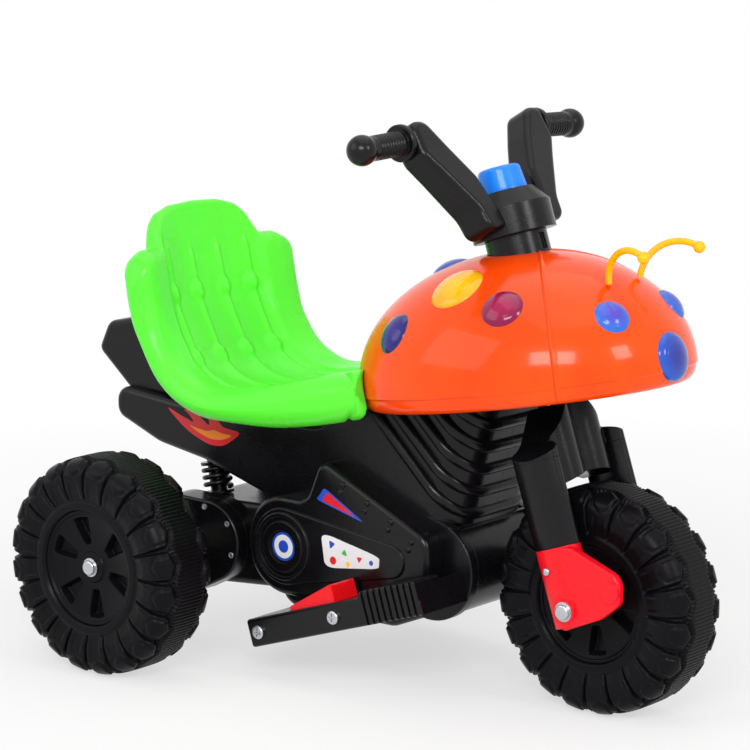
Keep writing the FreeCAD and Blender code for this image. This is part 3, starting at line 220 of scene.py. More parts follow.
class Board:
    """A shader tree with a short way to add nodes and join them."""

    def __init__(self, tree: bpy.types.NodeTree) -> None:
        """Keeps the tree."""
        self.tree = tree

    @classmethod
    def emptied(cls, block: Union[bpy.types.Material, bpy.types.World]) -> "Board":
        """Shader tree of a material or world, with nothing in it.

        Args:
            block: the material or world.

        Returns:
            The tree's board.
        """
        block.use_nodes = True
        block.node_tree.nodes.clear()
        return cls(block.node_tree)

    def add(self, kind: str, joins: Optional[dict] = None, **settings: object) -> bpy.types.Node:
        """Adds a node to the tree.

        Args:
            kind: type of the node.
            joins: for each socket's name or number, a value or the output that feeds it.
            settings: properties of the node.

        Returns:
            The node.
        """
        node = self.tree.nodes.new(kind)
        for key, value in settings.items():
            setattr(node, key, value)
        for socket, source in (joins or {}).items():
            if isinstance(source, bpy.types.NodeSocket):
                self.tree.links.new(source, node.inputs[socket])
            else:
                node.inputs[socket].default_value = source
        return node

    def sum(self, how: str, first: object, second: object) -> bpy.types.NodeSocket:
        """Adds a math node and gives its output.

        Args:
            how: the operation.
            first: a value or the output that feeds it.
            second: a value or the output that feeds it.

        Returns:
            The node's output.
        """
        return self.add("ShaderNodeMath", {0: first, 1: second}, operation=how).outputs[0]

    def span(self, value: object, low: float, high: float, start: object, end: object) -> bpy.types.NodeSocket:
        """Adds a clamped map from one range to another and gives its output.

        Args:
            value: the output to map.
            low: lower end of its range.
            high: upper end of its range.
            start: what the lower end becomes.
            end: what the upper end becomes.

        Returns:
            The node's output.
        """
        return self.add("ShaderNodeMapRange", {0: value, 1: low, 2: high, 3: start, 4: end}).outputs[0]


class Effect(Enum):
    """Shader groups that several finishes share."""

    TONE = "moulded_tone"
    SKIN = "moulded_skin"
    MARKS = "handling_marks"
    DUST = "settled_dust"
    EDGE = "softened_edge"


class EffectShop:
    """Builds each shared shader group once."""

    sockets = {
        Effect.TONE: ((("Color", "Color"), ("Amount", "Float"), ("Scale", "Float")), (("Color", "Color"),)),
        Effect.SKIN: ((("Scale", "Float"), ("Fine", "Float")), (("Height", "Float"),)),
        Effect.MARKS: ((("Roughness", "Float"), ("Amount", "Float"), ("Scale", "Float"), ("Edge", "Float")),
                       (("Roughness", "Float"),)),
        Effect.DUST: ((("Color", "Color"), ("Amount", "Float"), ("Edge", "Float")), (("Color", "Color"),)),
        Effect.EDGE: ((("Radius", "Float"),), (("Normal", "Vector"), ("Edge", "Float"))),
    }
    dust_colour = screen(205, 200, 192)

    def __init__(self, effect: Effect) -> None:
        """Starts an effect's group with its sockets.

        Args:
            effect: the effect.
        """
        self.tree = bpy.data.node_groups.new(effect.value, "ShaderNodeTree")
        for way, names in zip(("INPUT", "OUTPUT"), self.sockets[effect]):
            for name, kind in names:
                self.tree.interface.new_socket(name, in_out=way, socket_type="NodeSocket" + kind)
        self.board = Board(self.tree)
        self.given = self.board.add("NodeGroupInput").outputs
        self.places = self.board.add("ShaderNodeTexCoord").outputs["Object"]

    @classmethod
    @lru_cache(maxsize=None)
    def group(cls, effect: Effect) -> bpy.types.NodeTree:
        """Shader group of one effect.

        Args:
            effect: the effect wanted.

        Returns:
            The group, built at the first call.
        """
        shop = cls(effect)
        makers = {Effect.TONE: shop.tone, Effect.SKIN: shop.skin, Effect.MARKS: shop.marks, Effect.DUST: shop.dust,
                  Effect.EDGE: shop.edge}
        shop.board.add("NodeGroupOutput", makers[effect]())
        return shop.tree

    def noise(self, scale: object, detail: float, rough: float = 0.5, places: object = None) -> bpy.types.NodeSocket:
        """Adds a noise texture and gives its value.

        Args:
            scale: its scale, a value or an output.
            detail: how many octaves it has.
            rough: how strong the small octaves are.
            places: output with the places to read it at, or the object's own.

        Returns:
            The noise's value output.
        """
        joins = {"Vector": places or self.places, "Scale": scale, "Detail": detail, "Roughness": rough}
        return self.board.add("ShaderNodeTexNoise", joins).outputs[0]

    def tone(self) -> dict:
        """Colour that drifts a little in depth over the moulding, with paler flow lines.

        Returns:
            The group's outputs by name.
        """
        board, given = self.board, self.given
        broad = self.noise(given["Scale"], 4.0, 0.6)
        stretch = board.add("ShaderNodeMapping", {"Vector": self.places, "Scale": (6.0, 6.0, 55.0)}).outputs[0]
        flow = self.noise(3.0, 2.0, places=stretch)
        both = board.sum("ADD", board.sum("MULTIPLY", broad, 0.7), board.sum("MULTIPLY", flow, 0.3))
        low = board.sum("SUBTRACT", 1.0, given["Amount"])
        high = board.sum("ADD", 1.0, board.sum("MULTIPLY", given["Amount"], 0.6))
        value = board.span(both, 0.3, 0.7, low, high)
        hue = board.span(broad, 0.3, 0.7, 0.497, 0.503)
        joins = {"Color": given["Color"], "Value": value, "Hue": hue}
        return {"Color": board.add("ShaderNodeHueSaturation", joins).outputs[0]}

    def skin(self) -> dict:
        """Height of the moulded skin: soft ripple with a fine grain on it.

        Returns:
            The group's outputs by name.
        """
        board, given = self.board, self.given
        ripple = self.noise(given["Scale"], 2.0)
        grain = self.noise(board.sum("MULTIPLY", given["Scale"], 7.0), 3.0, 0.7)
        return {"Height": board.sum("ADD", ripple, board.sum("MULTIPLY", grain, given["Fine"]))}

    def marks(self) -> dict:
        """Roughness with smudges, fine rubbed lines and duller edges.

        Returns:
            The group's outputs by name.
        """
        board, given = self.board, self.given
        smudge = self.noise(given["Scale"], 5.0, 0.65)
        stretch = board.add("ShaderNodeMapping", {"Vector": self.places, "Rotation": (0.3, 0.5, 0.2),
                                                  "Scale": (12.0, 240.0, 240.0)}).outputs[0]
        lines = board.span(self.noise(4.0, 3.0, places=stretch), 0.58, 0.72, 0.0, 0.6)
        swing = board.sum("ADD", board.span(smudge, 0.35, 0.7, -0.5, 1.0), lines)
        swing = board.sum("ADD", swing, given["Edge"])
        value = board.sum("ADD", given["Roughness"], board.sum("MULTIPLY", swing, given["Amount"]))
        return {"Roughness": board.span(value, 0.03, 1.0, 0.03, 1.0)}

    def dust(self) -> dict:
        """Colour with a little dust on what faces up and a paler rubbed edge.

        Returns:
            The group's outputs by name.
        """
        board, given = self.board, self.given
        normal = board.add("ShaderNodeNewGeometry").outputs["Normal"]
        upward = board.add("ShaderNodeSeparateXYZ", {0: normal}).outputs[2]
        patch = board.span(self.noise(60.0, 6.0, 0.7), 0.4, 0.75, 0.15, 1.0)
        mask = board.sum("MULTIPLY", board.span(upward, 0.3, 1.0, 0.0, 1.0), patch)
        mask = board.sum("ADD", mask, board.sum("MULTIPLY", given["Edge"], 1.4))
        joins = {0: board.sum("MULTIPLY", mask, given["Amount"]), 6: given["Color"], 7: self.dust_colour}
        return {"Color": board.add("ShaderNodeMix", joins, data_type="RGBA").outputs[2]}

    def edge(self) -> dict:
        """Normal that rounds sharp edges off, and a mask of where they are.

        Returns:
            The group's outputs by name.
        """
        board = self.board
        rounded = board.add("ShaderNodeBevel", {"Radius": self.given["Radius"]}, samples=4).outputs[0]
        plain = board.add("ShaderNodeNewGeometry").outputs["Normal"]
        meet = board.add("ShaderNodeVectorMath", {0: rounded, 1: plain}, operation="DOT_PRODUCT").outputs["Value"]
        return {"Normal": rounded, "Edge": board.span(meet, 0.97, 0.75, 0.0, 1.0)}


@dataclass(frozen=True)
class Finish:
    """A procedural material that is built at its first use."""

    name: str
    colour: Colour = (1.0, 1.0, 1.0, 1.0)
    roughness: float = 0.3
    tone: float = 0.1
    tone_scale: float = 7.0
    marks: float = 0.08
    marks_scale: float = 14.0
    dust: float = 0.0
    edge: float = 0.0
    skin_scale: float = 260.0
    skin_fine: float = 0.3
    skin_depth: float = 0.00012
    bump: float = 0.6
    metallic: float = 0.0
    specular: float = 0.5
    coat: float = 0.0
    coat_roughness: float = 0.03
    glow: float = 0.0
    glow_reach: float = 0.004

    @lru_cache(maxsize=None)
    def material(self) -> bpy.types.Material:
        """The finish's material.

        Returns:
            The material, made at the first call.
        """
        made = bpy.data.materials.new(self.name)
        board = Board.emptied(made)
        shader = board.add("ShaderNodeBsdfPrincipled", self.feeds(board))
        board.add("ShaderNodeOutputMaterial", {0: shader.outputs[0]})
        return made

    @staticmethod
    def effect(board: Board, effect: Effect, **values: object) -> bpy.types.bpy_prop_collection:
        """Places a shared group.

        Args:
            board: the material's tree.
            effect: which group.
            values: its inputs by name, as values or outputs.

        Returns:
            The group's outputs.
        """
        return board.add("ShaderNodeGroup", values, node_tree=EffectShop.group(effect)).outputs

    def tint(self, board: Board) -> object:
        """Colour before it drifts, as a value or an output."""
        return self.colour

    def relief(self, board: Board) -> bpy.types.NodeSocket:
        """Height of the fine relief, here that of a moulded skin."""
        return self.effect(board, Effect.SKIN, Scale=self.skin_scale, Fine=self.skin_fine)["Height"]

    def feeds(self, board: Board) -> dict:
        """Drifting colour, marks and fine relief, with dust and softened edges on finishes that have them.

        Args:
            board: the material's tree.

        Returns:
            Values and outputs for the shader's sockets.
        """
        bump = {"Strength": self.bump, "Distance": self.skin_depth, "Height": self.relief(board)}
        worn: object = 0.0
        if self.edge:
            edge = self.effect(board, Effect.EDGE, Radius=self.edge)
            bump["Normal"], worn = edge["Normal"], edge["Edge"]
        tone = self.effect(board, Effect.TONE, Color=self.tint(board), Amount=self.tone, Scale=self.tone_scale)
        if self.dust:
            tone = self.effect(board, Effect.DUST, Color=tone["Color"], Amount=self.dust, Edge=worn)
        marks = self.effect(board, Effect.MARKS, Roughness=self.roughness, Amount=self.marks, Scale=self.marks_scale,
                            Edge=worn)
        return {"Base Color": tone["Color"], "Roughness": marks["Roughness"], "Metallic": self.metallic,
                "Normal": board.add("ShaderNodeBump", bump).outputs[0], "Specular IOR Level": self.specular,
                "Coat Weight": self.coat, "Coat Roughness": self.coat_roughness,
                "Subsurface Weight": self.glow, "Subsurface Radius": (self.glow_reach,) * 3}


@dataclass(frozen=True)
class Plastic(Finish):
    """Moulded plastic in one colour."""

    dust: float = 0.05
    edge: float = 0.0012
    coat_roughness: float = 0.06


@dataclass(frozen=True)
class Lens(Finish):
    """Glossy coloured lens with fine rings moulded inside; its colour is painted from the middle to the rim as
    painted light and shade across the dome, paler in the middle on most colours.
    """

    roughness: float = 0.12
    tone_scale: float = 22.0
    marks: float = 0.05
    marks_scale: float = 30.0
    dust: float = 0.03
    skin_depth: float = 0.00015
    bump: float = 0.35
    specular: float = 0.25
    coat: float = 0.3
    # rim: colour at the lens's edge, painted shade where it is darker than the middle and painted light where it is
    # paler.
    rim: Colour = (1.0, 1.0, 1.0, 1.0)
    painted_rim_power: float = 1.8
    rings: float = 34.0

    @staticmethod
    def reach(board: Board) -> bpy.types.NodeSocket:
        """How far out on the lens a point is."""
        return board.add("ShaderNodeAttribute", attribute_name="reach").outputs["Fac"]

    def tint(self, board: Board) -> object:
        """Colour painted from the middle's to the rim's: painted light and shade across the dome, not the lens's own
        colour.
        """
        share = board.sum("POWER", self.reach(board), self.painted_rim_power)
        return board.add("ShaderNodeMix", {0: share, 6: self.colour, 7: self.rim}, data_type="RGBA").outputs[2]

    def relief(self, board: Board) -> bpy.types.NodeSocket:
        """Height of the moulded rings."""
        return board.sum("SINE", board.sum("MULTIPLY", self.reach(board), self.rings), 0.0)


@dataclass(frozen=True)
class Plating(Finish):
    """Zinc-plated or bright steel with brushed lines."""

    roughness: float = 0.28
    tone: float = 0.14
    tone_scale: float = 40.0
    marks: float = 0.14
    marks_scale: float = 60.0
    edge: float = 0.0004
    skin_scale: float = 700.0
    skin_fine: float = 0.6
    skin_depth: float = 0.00005
    bump: float = 0.4
    metallic: float = 1.0


@dataclass(frozen=True)
class Print(Finish):
    """Printed vinyl, a little worn, whose inks are kept with the sheet's points."""

    name: str = "printed_vinyl"
    tone: float = 0.07
    tone_scale: float = 30.0
    marks: float = 0.1
    marks_scale: float = 30.0
    dust: float = 0.04
    skin_scale: float = 500.0
    skin_fine: float = 0.2
    skin_depth: float = 0.00006
    bump: float = 0.3

    def tint(self, board: Board) -> object:
        """The sheet's inks."""
        return board.add("ShaderNodeAttribute", attribute_name="ink").outputs["Color"]


FINISHES: dict[str, Finish] = {finish.name: finish for finish in (
    Plastic("black_plastic", screen(14, 13, 16), 0.22, tone=0.2, specular=0.24, dust=0.005, marks=0.1),
    Plastic("wheel_plastic", screen(13, 12, 15), 0.29, tone=0.2, specular=0.09, dust=0.006, marks=0.12,
            skin_scale=420.0),
    Plastic("green_plastic", screen(94, 248, 54), 0.3, tone=0.05, specular=0.3, coat=0.08, glow=0.06),
    Plastic("orange_plastic", screen(255, 76, 4), 0.2, tone=0.04, specular=0.12, coat=0.24, skin_depth=0.00004,
            marks=0.04, dust=0.008),
    Plastic("red_plastic", screen(246, 16, 34), 0.24, tone=0.05, specular=0.22, coat=0.1, skin_depth=0.00005,
            dust=0.01),
    Plastic("blue_plastic", screen(34, 136, 255), 0.22, tone=0.06, specular=0.25, coat=0.12, skin_depth=0.00005),
    Plastic("yellow_plastic", screen(255, 190, 0), 0.24, tone=0.05, specular=0.25, coat=0.1, skin_depth=0.00003,
            marks=0.05),
    Plastic("white_plastic", screen(226, 224, 214), 0.38, tone=0.05, edge=0.0004),
    Plastic("board_green", screen(24, 92, 48), 0.4, tone=0.12, edge=0.0003),
    Plating("steel", screen(196, 198, 204)),
    Plating("can_steel", screen(168, 170, 176), 0.36),
    # Lens rim colours: painted shade on the yellow, crimson and indigo lenses, painted light on the violet and blue
    # ones.
    Lens("yellow_lens", screen(255, 196, 0), rim=screen(250, 168, 0)),
    Lens("crimson_lens", screen(164, 0, 76), rim=screen(122, 0, 62)),
    Lens("indigo_lens", screen(42, 18, 132), rim=screen(26, 34, 108)),
    Lens("violet_lens", screen(84, 70, 196), rim=screen(30, 118, 222)),
    Lens("blue_lens", screen(46, 50, 150), rim=screen(36, 92, 196)),
)}
SLOT_OF: dict[str, str] = {row["node"]: row["material_slot"] for row in frame["record"]["subparts"]}


def new_piece(name: str, points: np.ndarray, faces: Faces, body: str, slot: str, nodes: Sequence[str] = (),
              finish: Optional[Finish] = None, sharp: float = 0.0) -> bpy.types.Object:
    """Makes a closed mesh piece that rides on a body.

    Args:
        name: the piece's name.
        points: its points in metres of the frame.
        faces: its faces.
        body: body of the frame that carries it.
        slot: material slot of the record.
        nodes: CAD nodes that it stands for.
        finish: its finish, or the slot's own.
        sharp: angle in degrees from which edges stay sharp, or 0 for none.

    Returns:
        The piece.
    """
    mesh = bpy.data.meshes.new(name)
    mesh.from_pydata(np.asarray(points).tolist(), [], faces)
    shape = bmesh.new()
    shape.from_mesh(mesh)
    bmesh.ops.remove_doubles(shape, verts=shape.verts, dist=1e-6)
    bmesh.ops.recalc_face_normals(shape, faces=shape.faces)
    shape.to_mesh(mesh)
    shape.free()
    mesh.shade_smooth()
    if sharp:
        mesh.set_sharp_from_angle(angle=math.radians(sharp))
    piece = bpy.data.objects.new(name, mesh)
    bpy.context.scene.collection.objects.link(piece)
    mesh.materials.append((finish or FINISHES[slot]).material())
    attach(piece, body)
    if nodes:
        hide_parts(*nodes)
    LOG.info("%s: %d points on %s", name, len(mesh.vertices), body)
    return piece


@dataclass
class DomeForm:
    """The cowl's half egg, to which the seat's front and the lenses fit."""

    length: float = 331.0
    width: float = 272.0
    rise: float = 113.0
    setback: float = 94.0
    height: float = 302.0
    pitch: float = 9.2

    def turn(self) -> np.ndarray:
        """Rotation from the cowl's own axes to the frame's."""
        c, s = math.cos(math.radians(self.pitch)), math.sin(math.radians(self.pitch))
        return np.array(((c, 0.0, -s), (0.0, 1.0, 0.0), (s, 0.0, c)))

    def placed(self, points: np.ndarray) -> np.ndarray:
        """Points drawn about the cowl's rim, in millimetres from the front axle."""
        return np.asarray(points) @ self.turn().T + np.array((-self.setback, 0.0, self.height))

    def local(self, points: np.ndarray) -> np.ndarray:
        """Points given in millimetres from the front axle, about the cowl's rim."""
        return (np.asarray(points) - np.array((-self.setback, 0.0, self.height))) @ self.turn()

    def inside(self, points: np.ndarray, gap: float) -> np.ndarray:
        """Tells which points are in the cowl or under it.

        Args:
            points: points in millimetres from the front axle.
            gap: how much the cowl is grown.

        Returns:
            True for each point inside.
        """
        local = self.local(points)
        high = np.maximum(local[..., 2], 0.0) / (self.rise + gap)
        ahead = local[..., 0] / (self.length / 2 + gap)
        out = local[..., 1] / (self.width / 2 + gap)
        return ahead ** 2 + out ** 2 + high ** 2 < 1.0

    def distance(self, points: np.ndarray) -> np.ndarray:
        """Distance of points from the cowl and from the upright skirt under it.

        Args:
            points: points in millimetres from the front axle.

        Returns:
            About how far each is outside.
        """
        local = self.local(points)
        local[..., 2] = np.maximum(local[..., 2], 0.0)
        axes = np.array((self.length / 2, self.width / 2, self.rise))
        size = np.linalg.norm(local / axes, axis=-1)
        slope = np.linalg.norm(local / axes ** 2, axis=-1) / np.maximum(size, 1e-6)
        return (size - 1.0) / np.maximum(slope, 1e-6)

    def surface(self, ahead: float, out: float) -> tuple[np.ndarray, np.ndarray]:
        """Point on the cowl and its outward direction.

        Args:
            ahead: distance ahead of the cowl's middle.
            out: distance to the left of it.

        Returns:
            The point and the direction, about the cowl's rim.
        """
        a, b = self.length / 2, self.width / 2
        high = self.rise * math.sqrt(max(0.0, 1 - (ahead / a) ** 2 - (out / b) ** 2))
        way = np.array((ahead / a ** 2, out / b ** 2, high / self.rise ** 2))
        return np.array((ahead, out, high)), way / np.linalg.norm(way)


@dataclass
class BucketSeat:
    """Green bucket seat with a tall lobe, two ears, raised lines and raised buttons."""

    dome: DomeForm
    half: float = 117.0
    lobe: float = 68.5
    top: float = 428.0
    ear: float = 389.0
    rim_start: float = 97.0
    deck: float = 238.4
    columns: int = 211
    upper_count: int = 190
    under_count: int = 160
    lip: float = 8.0
    ease: float = 2.5
    cowl_gap: float = 0.8
    clear_step: float = 0.25
    crest_count: int = 10
    nose_count: int = 8
    drawn_top: float = 431.0
    line_places: tuple[float, ...] = (-57.0, -19.5, 19.5, 57.0)
    line_rise: float = 2.3
    line_width: float = 2.6
    line_front: tuple[float, float] = (-338.0, -400.0)
    line_top: tuple[float, float] = (396.0, 376.0)
    hollow: float = 1.2
    hollow_reach: float = 15.0
    hollow_ends: tuple[float, float] = (74.0, 52.0)
    button: float = 7.0
    button_rise: float = 2.9
    button_dimple: float = 1.2
    button_moat: float = 0.6
    dimple_share: float = 0.45
    moat_place: float = 1.7
    moat_sharpness: float = 5.0
    button_heights: tuple[float, float] = (344.0, 284.0)
    groove_back: float = 14.0
    groove_depth: float = 3.0
    groove_width: float = 2.2
    crest_share: float = 0.9
    spread: float = math.pi / 2 * 0.82
    pan: Flat = ((-206, 303), (-268, 284), (-335, 264), (-395, 256), (-440, 271), (-470, 316), (-487, 362),
                 (-503, 431))
    side: Flat = ((-206, 306), (-268, 291), (-335, 275), (-388, 267), (-425, 280), (-447, 304), (-462, 345),
                  (-480, 431))
    base: Flat = ((-196, 262), (-268, 245), (-335, 236), (-405, 238), (-452, 262), (-483, 310), (-503, 360),
                  (-515, 431))

    def eased(self, y: float, places: Sequence[float], values: Sequence[float]) -> float:
        """Value of a table at a distance from the middle, smoothed over a few millimetres."""
        return float(np.mean(np.interp(np.abs(y + np.linspace(-self.ease, self.ease, 11)), places, values)))

    def section(self, y: float) -> tuple[np.ndarray, np.ndarray]:
        """Upper and under line of the seat at one distance from the middle.

        Args:
            y: the distance, positive to the left.

        Returns:
            Both lines from the front to the top, as back and up pairs.
        """
        lobe, half, ear = self.lobe, self.half, self.ear
        places = (0.0, lobe * 0.5, lobe * 0.8, lobe * 0.93, lobe, lobe + 4, half - 24, half - 11, half - 4, half)
        tops = (self.top, self.top - 1.5, self.top - 7, self.top - 15, ear + 12, ear + 1, ear + 1, ear - 5, ear - 15,
                ear - 34)
        wings = (0.0, 0.06, 0.18, 0.28, 0.42, 0.68, 0.95, 1.0, 0.9, 0.7)
        top = self.eased(y, places, tops)
        wing = self.eased(y, places, wings)
        pan, side, base = (np.array(line, float) for line in (self.pan, self.side, self.base))
        face = pan + (side - pan) * wing
        out = max(0.0, abs(y) - self.rim_start) / (self.half - self.rim_start)
        full = math.sqrt(max(0.0, 1 - min(1.0, out) ** 2))
        middle = (face + base) / 2
        face, back = middle + (face - middle) * full, middle + (base - middle) * full
        for line in (face, back):
            line[6:] = line[5] + (line[6:] - line[5]) * ((top - line[5, 1]) / (self.drawn_top - line[5, 1]))
        return face, back

    def trimmed(self, line: np.ndarray, y: float, count: int) -> np.ndarray:
        """Smooth line of a section from where it leaves the cowl.

        Args:
            line: the section's few points.
            y: its distance from the middle.
            count: how many points to give back.

        Returns:
            The points, evenly spaced.
        """
        dense = smooth_line(line, 900)
        spots = np.column_stack((dense[:, 0], np.full(len(dense), y), dense[:, 1]))
        free = np.nonzero(~self.dome.inside(spots, self.cowl_gap))[0]
        return even_line(dense[free[0]:], count)

    def relieved(self, line: np.ndarray, y: float) -> np.ndarray:
        """Upper line with its raised lines and buttons.

        Args:
            line: the upper line's points.
            y: its distance from the middle.

        Returns:
            The moved points.
        """
        way = np.gradient(line, axis=0)
        way /= np.linalg.norm(way, axis=1)[:, None]
        outward = np.column_stack((way[:, 1], -way[:, 0]))
        reach = run_lengths(line)
        fade = ramp(line[:, 0], *self.line_front) * ramp(line[:, 1], *self.line_top)
        gap = min(abs(y - place) for place in self.line_places)
        rise = self.line_rise * math.exp(-(gap / self.line_width) ** 2) * fade
        rise = rise - self.hollow * fade * (ramp(gap, 0.0, self.hollow_reach) * ramp(abs(y), *self.hollow_ends))
        rear = np.arange(len(line)) > len(line) // 2
        for height in self.button_heights:
            spot = reach[np.argmin(np.where(rear, np.abs(line[:, 1] - height), 1e9))]
            out = np.hypot(gap, reach - spot) / self.button
            dimple = self.button_dimple * np.exp(-((out / self.dimple_share) ** 2))
            rise = rise + self.button_rise * np.exp(-(out ** 4)) - dimple
            rise = rise - self.button_moat * np.exp(-((out - self.moat_place) ** 2) * self.moat_sharpness)
        return line + outward * rise[:, None]

    def cleared(self, spot: np.ndarray, y: float) -> np.ndarray:
        """Place of a section's point, moved back until it is clear of the cowl.

        Args:
            spot: the point, back and up.
            y: its distance from the middle.

        Returns:
            The moved point.
        """
        while self.dome.inside(np.array((spot[0], y, spot[1])), self.cowl_gap):
            spot = spot - np.array((self.clear_step, 0.0))
        return spot

    def ring(self, y: float) -> np.ndarray:
        """Closed section at one distance from the middle.

        Args:
            y: the distance.

        Returns:
            The ring's points in millimetres from the front axle.
        """
        face, back = self.section(y)
        thick = np.linalg.norm(face[-1] - back[-1]) / 2
        rise = max(0.1, thick * self.crest_share)
        for line in (face, back):
            line[-1] = line[-1] + (line[-2] - line[-1]) * (rise / np.linalg.norm(line[-2] - line[-1]))
        upper = self.relieved(self.trimmed(face, y, self.upper_count), y)
        under = self.trimmed(back, y, self.under_count)
        under[:, 1] = np.maximum(under[:, 1], self.deck)
        short = np.clip(self.lip - np.abs(under[:, 0] - under[0, 0]), 0.0, None)
        under[:, 1] += self.lip - np.sqrt(self.lip ** 2 - short ** 2)
        under[short > 0] = [self.cleared(spot, y) for spot in under[short > 0]]
        middle, arm = (upper[-1] + under[-1]) / 2, (upper[-1] - under[-1]) / 2
        up = np.array((-arm[1], arm[0])) * (1 if arm[0] > 0 else -1)
        turn = np.linspace(0, math.pi, self.crest_count + 2)[1:-1, None]
        crest = middle + arm * np.cos(turn) + up * np.sin(turn) * (rise / max(thick, 1e-6))
        shares = np.linspace(0, 1, self.nose_count + 2)[1:-1]
        nose = [self.cleared(under[0] + (upper[0] - under[0]) * share, y) for share in shares]
        loop = np.vstack((upper, crest, under[::-1], np.array(nose)))
        return np.column_stack((loop[:, 0], np.full(len(loop), y), loop[:, 1]))

    def build(self) -> bpy.types.Object:
        """Makes the seat in place of its plain solid.

        Returns:
            The seat.
        """
        share = np.linspace(-1, 1, self.columns)
        places = self.half * np.sin(share * self.spread) / math.sin(self.spread)
        rings = [self.ring(float(y)) for y in places]
        points = from_front(np.vstack(rings))
        faces = grid_faces(len(rings), len(rings[0]), False, True)
        seat = new_piece("bucket_seat", points, faces, "chassis", "green_plastic", ("seat",))
        self.groove(seat.data)
        return seat

    def groove(self, mesh: bpy.types.Mesh) -> None:
        """Sinks the groove that runs round the seat's front end, along the cowl.

        Args:
            mesh: the seat's mesh.
        """
        spots, ways = np.empty(len(mesh.vertices) * 3), np.empty(len(mesh.vertices) * 3)
        mesh.vertices.foreach_get("co", spots)
        mesh.vertex_normals.foreach_get("vector", ways)
        spots, ways = spots.reshape(-1, 3), ways.reshape(-1, 3)
        away = self.dome.distance((spots - np.array((FRONT_AXLE.x, 0.0, 0.0))) / MM)
        depth = self.groove_depth * np.exp(-(((away - self.groove_back) / self.groove_width) ** 2))
        mesh.vertices.foreach_set("co", (spots - ways * (depth * MM)[:, None]).ravel())
        mesh.update()


@dataclass
class ChunkyTyre:
    """Hard plastic tyre with sidewall lugs, six-sided shoulder pads and a serrated tread band."""

    radius: float = 105.0
    half_width: float = 36.0
    lug_count: int = 20
    lug_height: float = 6.0
    lug_level: float = 0.92
    lug_rise: Flat = ((8.0, 0.0), (11.0, 0.5), (24.0, 0.78), (33.0, 1.0))
    groove_half: Flat = ((10.0, 0.9), (22.0, 1.3), (32.0, 1.9), (44.0, 2.7), (52.0, 3.2))
    groove_soft: Flat = ((10.0, 0.7), (30.0, 1.0), (46.0, 2.4))
    step_half: tuple[float, float] = (6.5, 5.0)
    step_reach: tuple[float, float] = (31.0, 28.0)
    step_depth: float = 0.18
    band_half: float = 17.0
    band_wave: float = 2.6
    band_teeth: int = 9
    band_level: float = 0.8
    band_soft: float = 0.8
    lug_start: tuple[float, float] = (-0.4, 1.6)
    tooth_rise: float = 0.17
    seam_place: float = 1.4
    seam_depth: float = 0.5
    seam_half: tuple[float, float] = (1.8, 0.7)
    pad_reach: float = 42.0
    pad_size: float = 8.0
    pad_rise: float = 0.16
    pad_slant: float = 0.866
    pad_soft: float = 0.6
    pad_moat: tuple[float, float] = (3.4, 2.2)
    columns: int = 900
    rows: int = 110
    side: Flat = ((56.15, 34.0), (60.0, 34.0), (63.2, 33.8), (66.2, 31.0), (71.0, 31.2), (78.0, 32.0), (88.0, 31.0),
                  (95.0, 27.0), (98.5, 18.0), (99.0, 6.0))

    def profile(self) -> np.ndarray:
        """Rows of radius and width from the right bead over the tread to the left bead."""
        side = np.array(self.side)
        return smooth_line(np.vstack((side * (1, -1), side[::-1])), self.rows)

    def rise(self, angle: np.ndarray, width: float, reach: float, radius: float) -> np.ndarray:
        """Height of the tread over the carcass along one row.

        Args:
            angle: angles round the wheel, in radians.
            width: the row's distance from the wheel's middle, positive to the left.
            reach: the row's distance from its bead, along the profile.
            radius: the row's distance from the axle.

        Returns:
            The heights in millimetres.
        """
        pitch = 2 * math.pi / self.lug_count
        turned = angle - (0.0 if width > 0 else pitch / 2)
        across = np.abs((turned + pitch / 2) % pitch - pitch / 2) * radius
        past = abs(width) - (self.band_half - self.band_wave * np.cos(turned * self.lug_count))
        band = ramp(past, self.band_soft, -self.band_soft)
        teeth = ramp(np.cos(angle * self.lug_count * self.band_teeth), -0.5, 0.5)
        soft = table(reach, self.groove_soft)
        end = pitch / 2 * radius - table(reach, self.groove_half)
        lug = ramp(across, end + soft, end - soft) * table(reach, self.lug_rise) * ramp(past, *self.lug_start)
        six = np.maximum(across, 0.5 * across + self.pad_slant * abs(reach - self.pad_reach))
        pad = ramp(six, self.pad_size + self.pad_soft, self.pad_size - self.pad_soft)
        moat = ramp(six, *(self.pad_size + edge for edge in self.pad_moat)) * (1 - pad)
        step = ramp(across, *self.step_half) * ramp(reach, *self.step_reach)
        seam = ramp(np.abs(past - self.seam_place), *self.seam_half)
        lugs = lug * (self.lug_level + self.pad_rise * (pad - moat) - self.step_depth * step)
        tread = band * (self.band_level + self.tooth_rise * teeth)
        return self.lug_height * np.maximum(np.maximum(lugs, tread) - self.seam_depth * seam, 0.0)

    def points(self) -> np.ndarray:
        """Makes the points of a whole tyre.

        Returns:
            The points in millimetres about the wheel's middle.
        """
        profile = self.profile()
        way = np.gradient(profile, axis=0)
        outward = np.column_stack((way[:, 1], -way[:, 0])) / np.linalg.norm(way, axis=1)[:, None]
        reach = run_lengths(profile)
        reach = np.minimum(reach, reach[-1] - reach)
        angle = turns(self.columns)
        rows = []
        for (r, y), (out_r, out_y), s in zip(profile, outward, reach):
            height = self.rise(angle, y, s, r)
            radius = np.minimum(r + out_r * height, self.radius)
            width = np.clip(y + out_y * height, -self.half_width, self.half_width)
            rows.append(np.column_stack((radius * np.cos(angle), width, -radius * np.sin(angle))))
        return np.vstack(rows)

    def build(self) -> None:
        """Makes the three tyres in place of their plain solids."""
        points = self.points() * MM
        faces = grid_faces(self.rows, self.columns, True, True)
        for pattern, body, joint in WHEELS:
            node = pattern.format("tyre")
            new_piece(node + "_tread", points + np.array(joint_place(joint)), faces, body, "wheel_plastic", (node,))


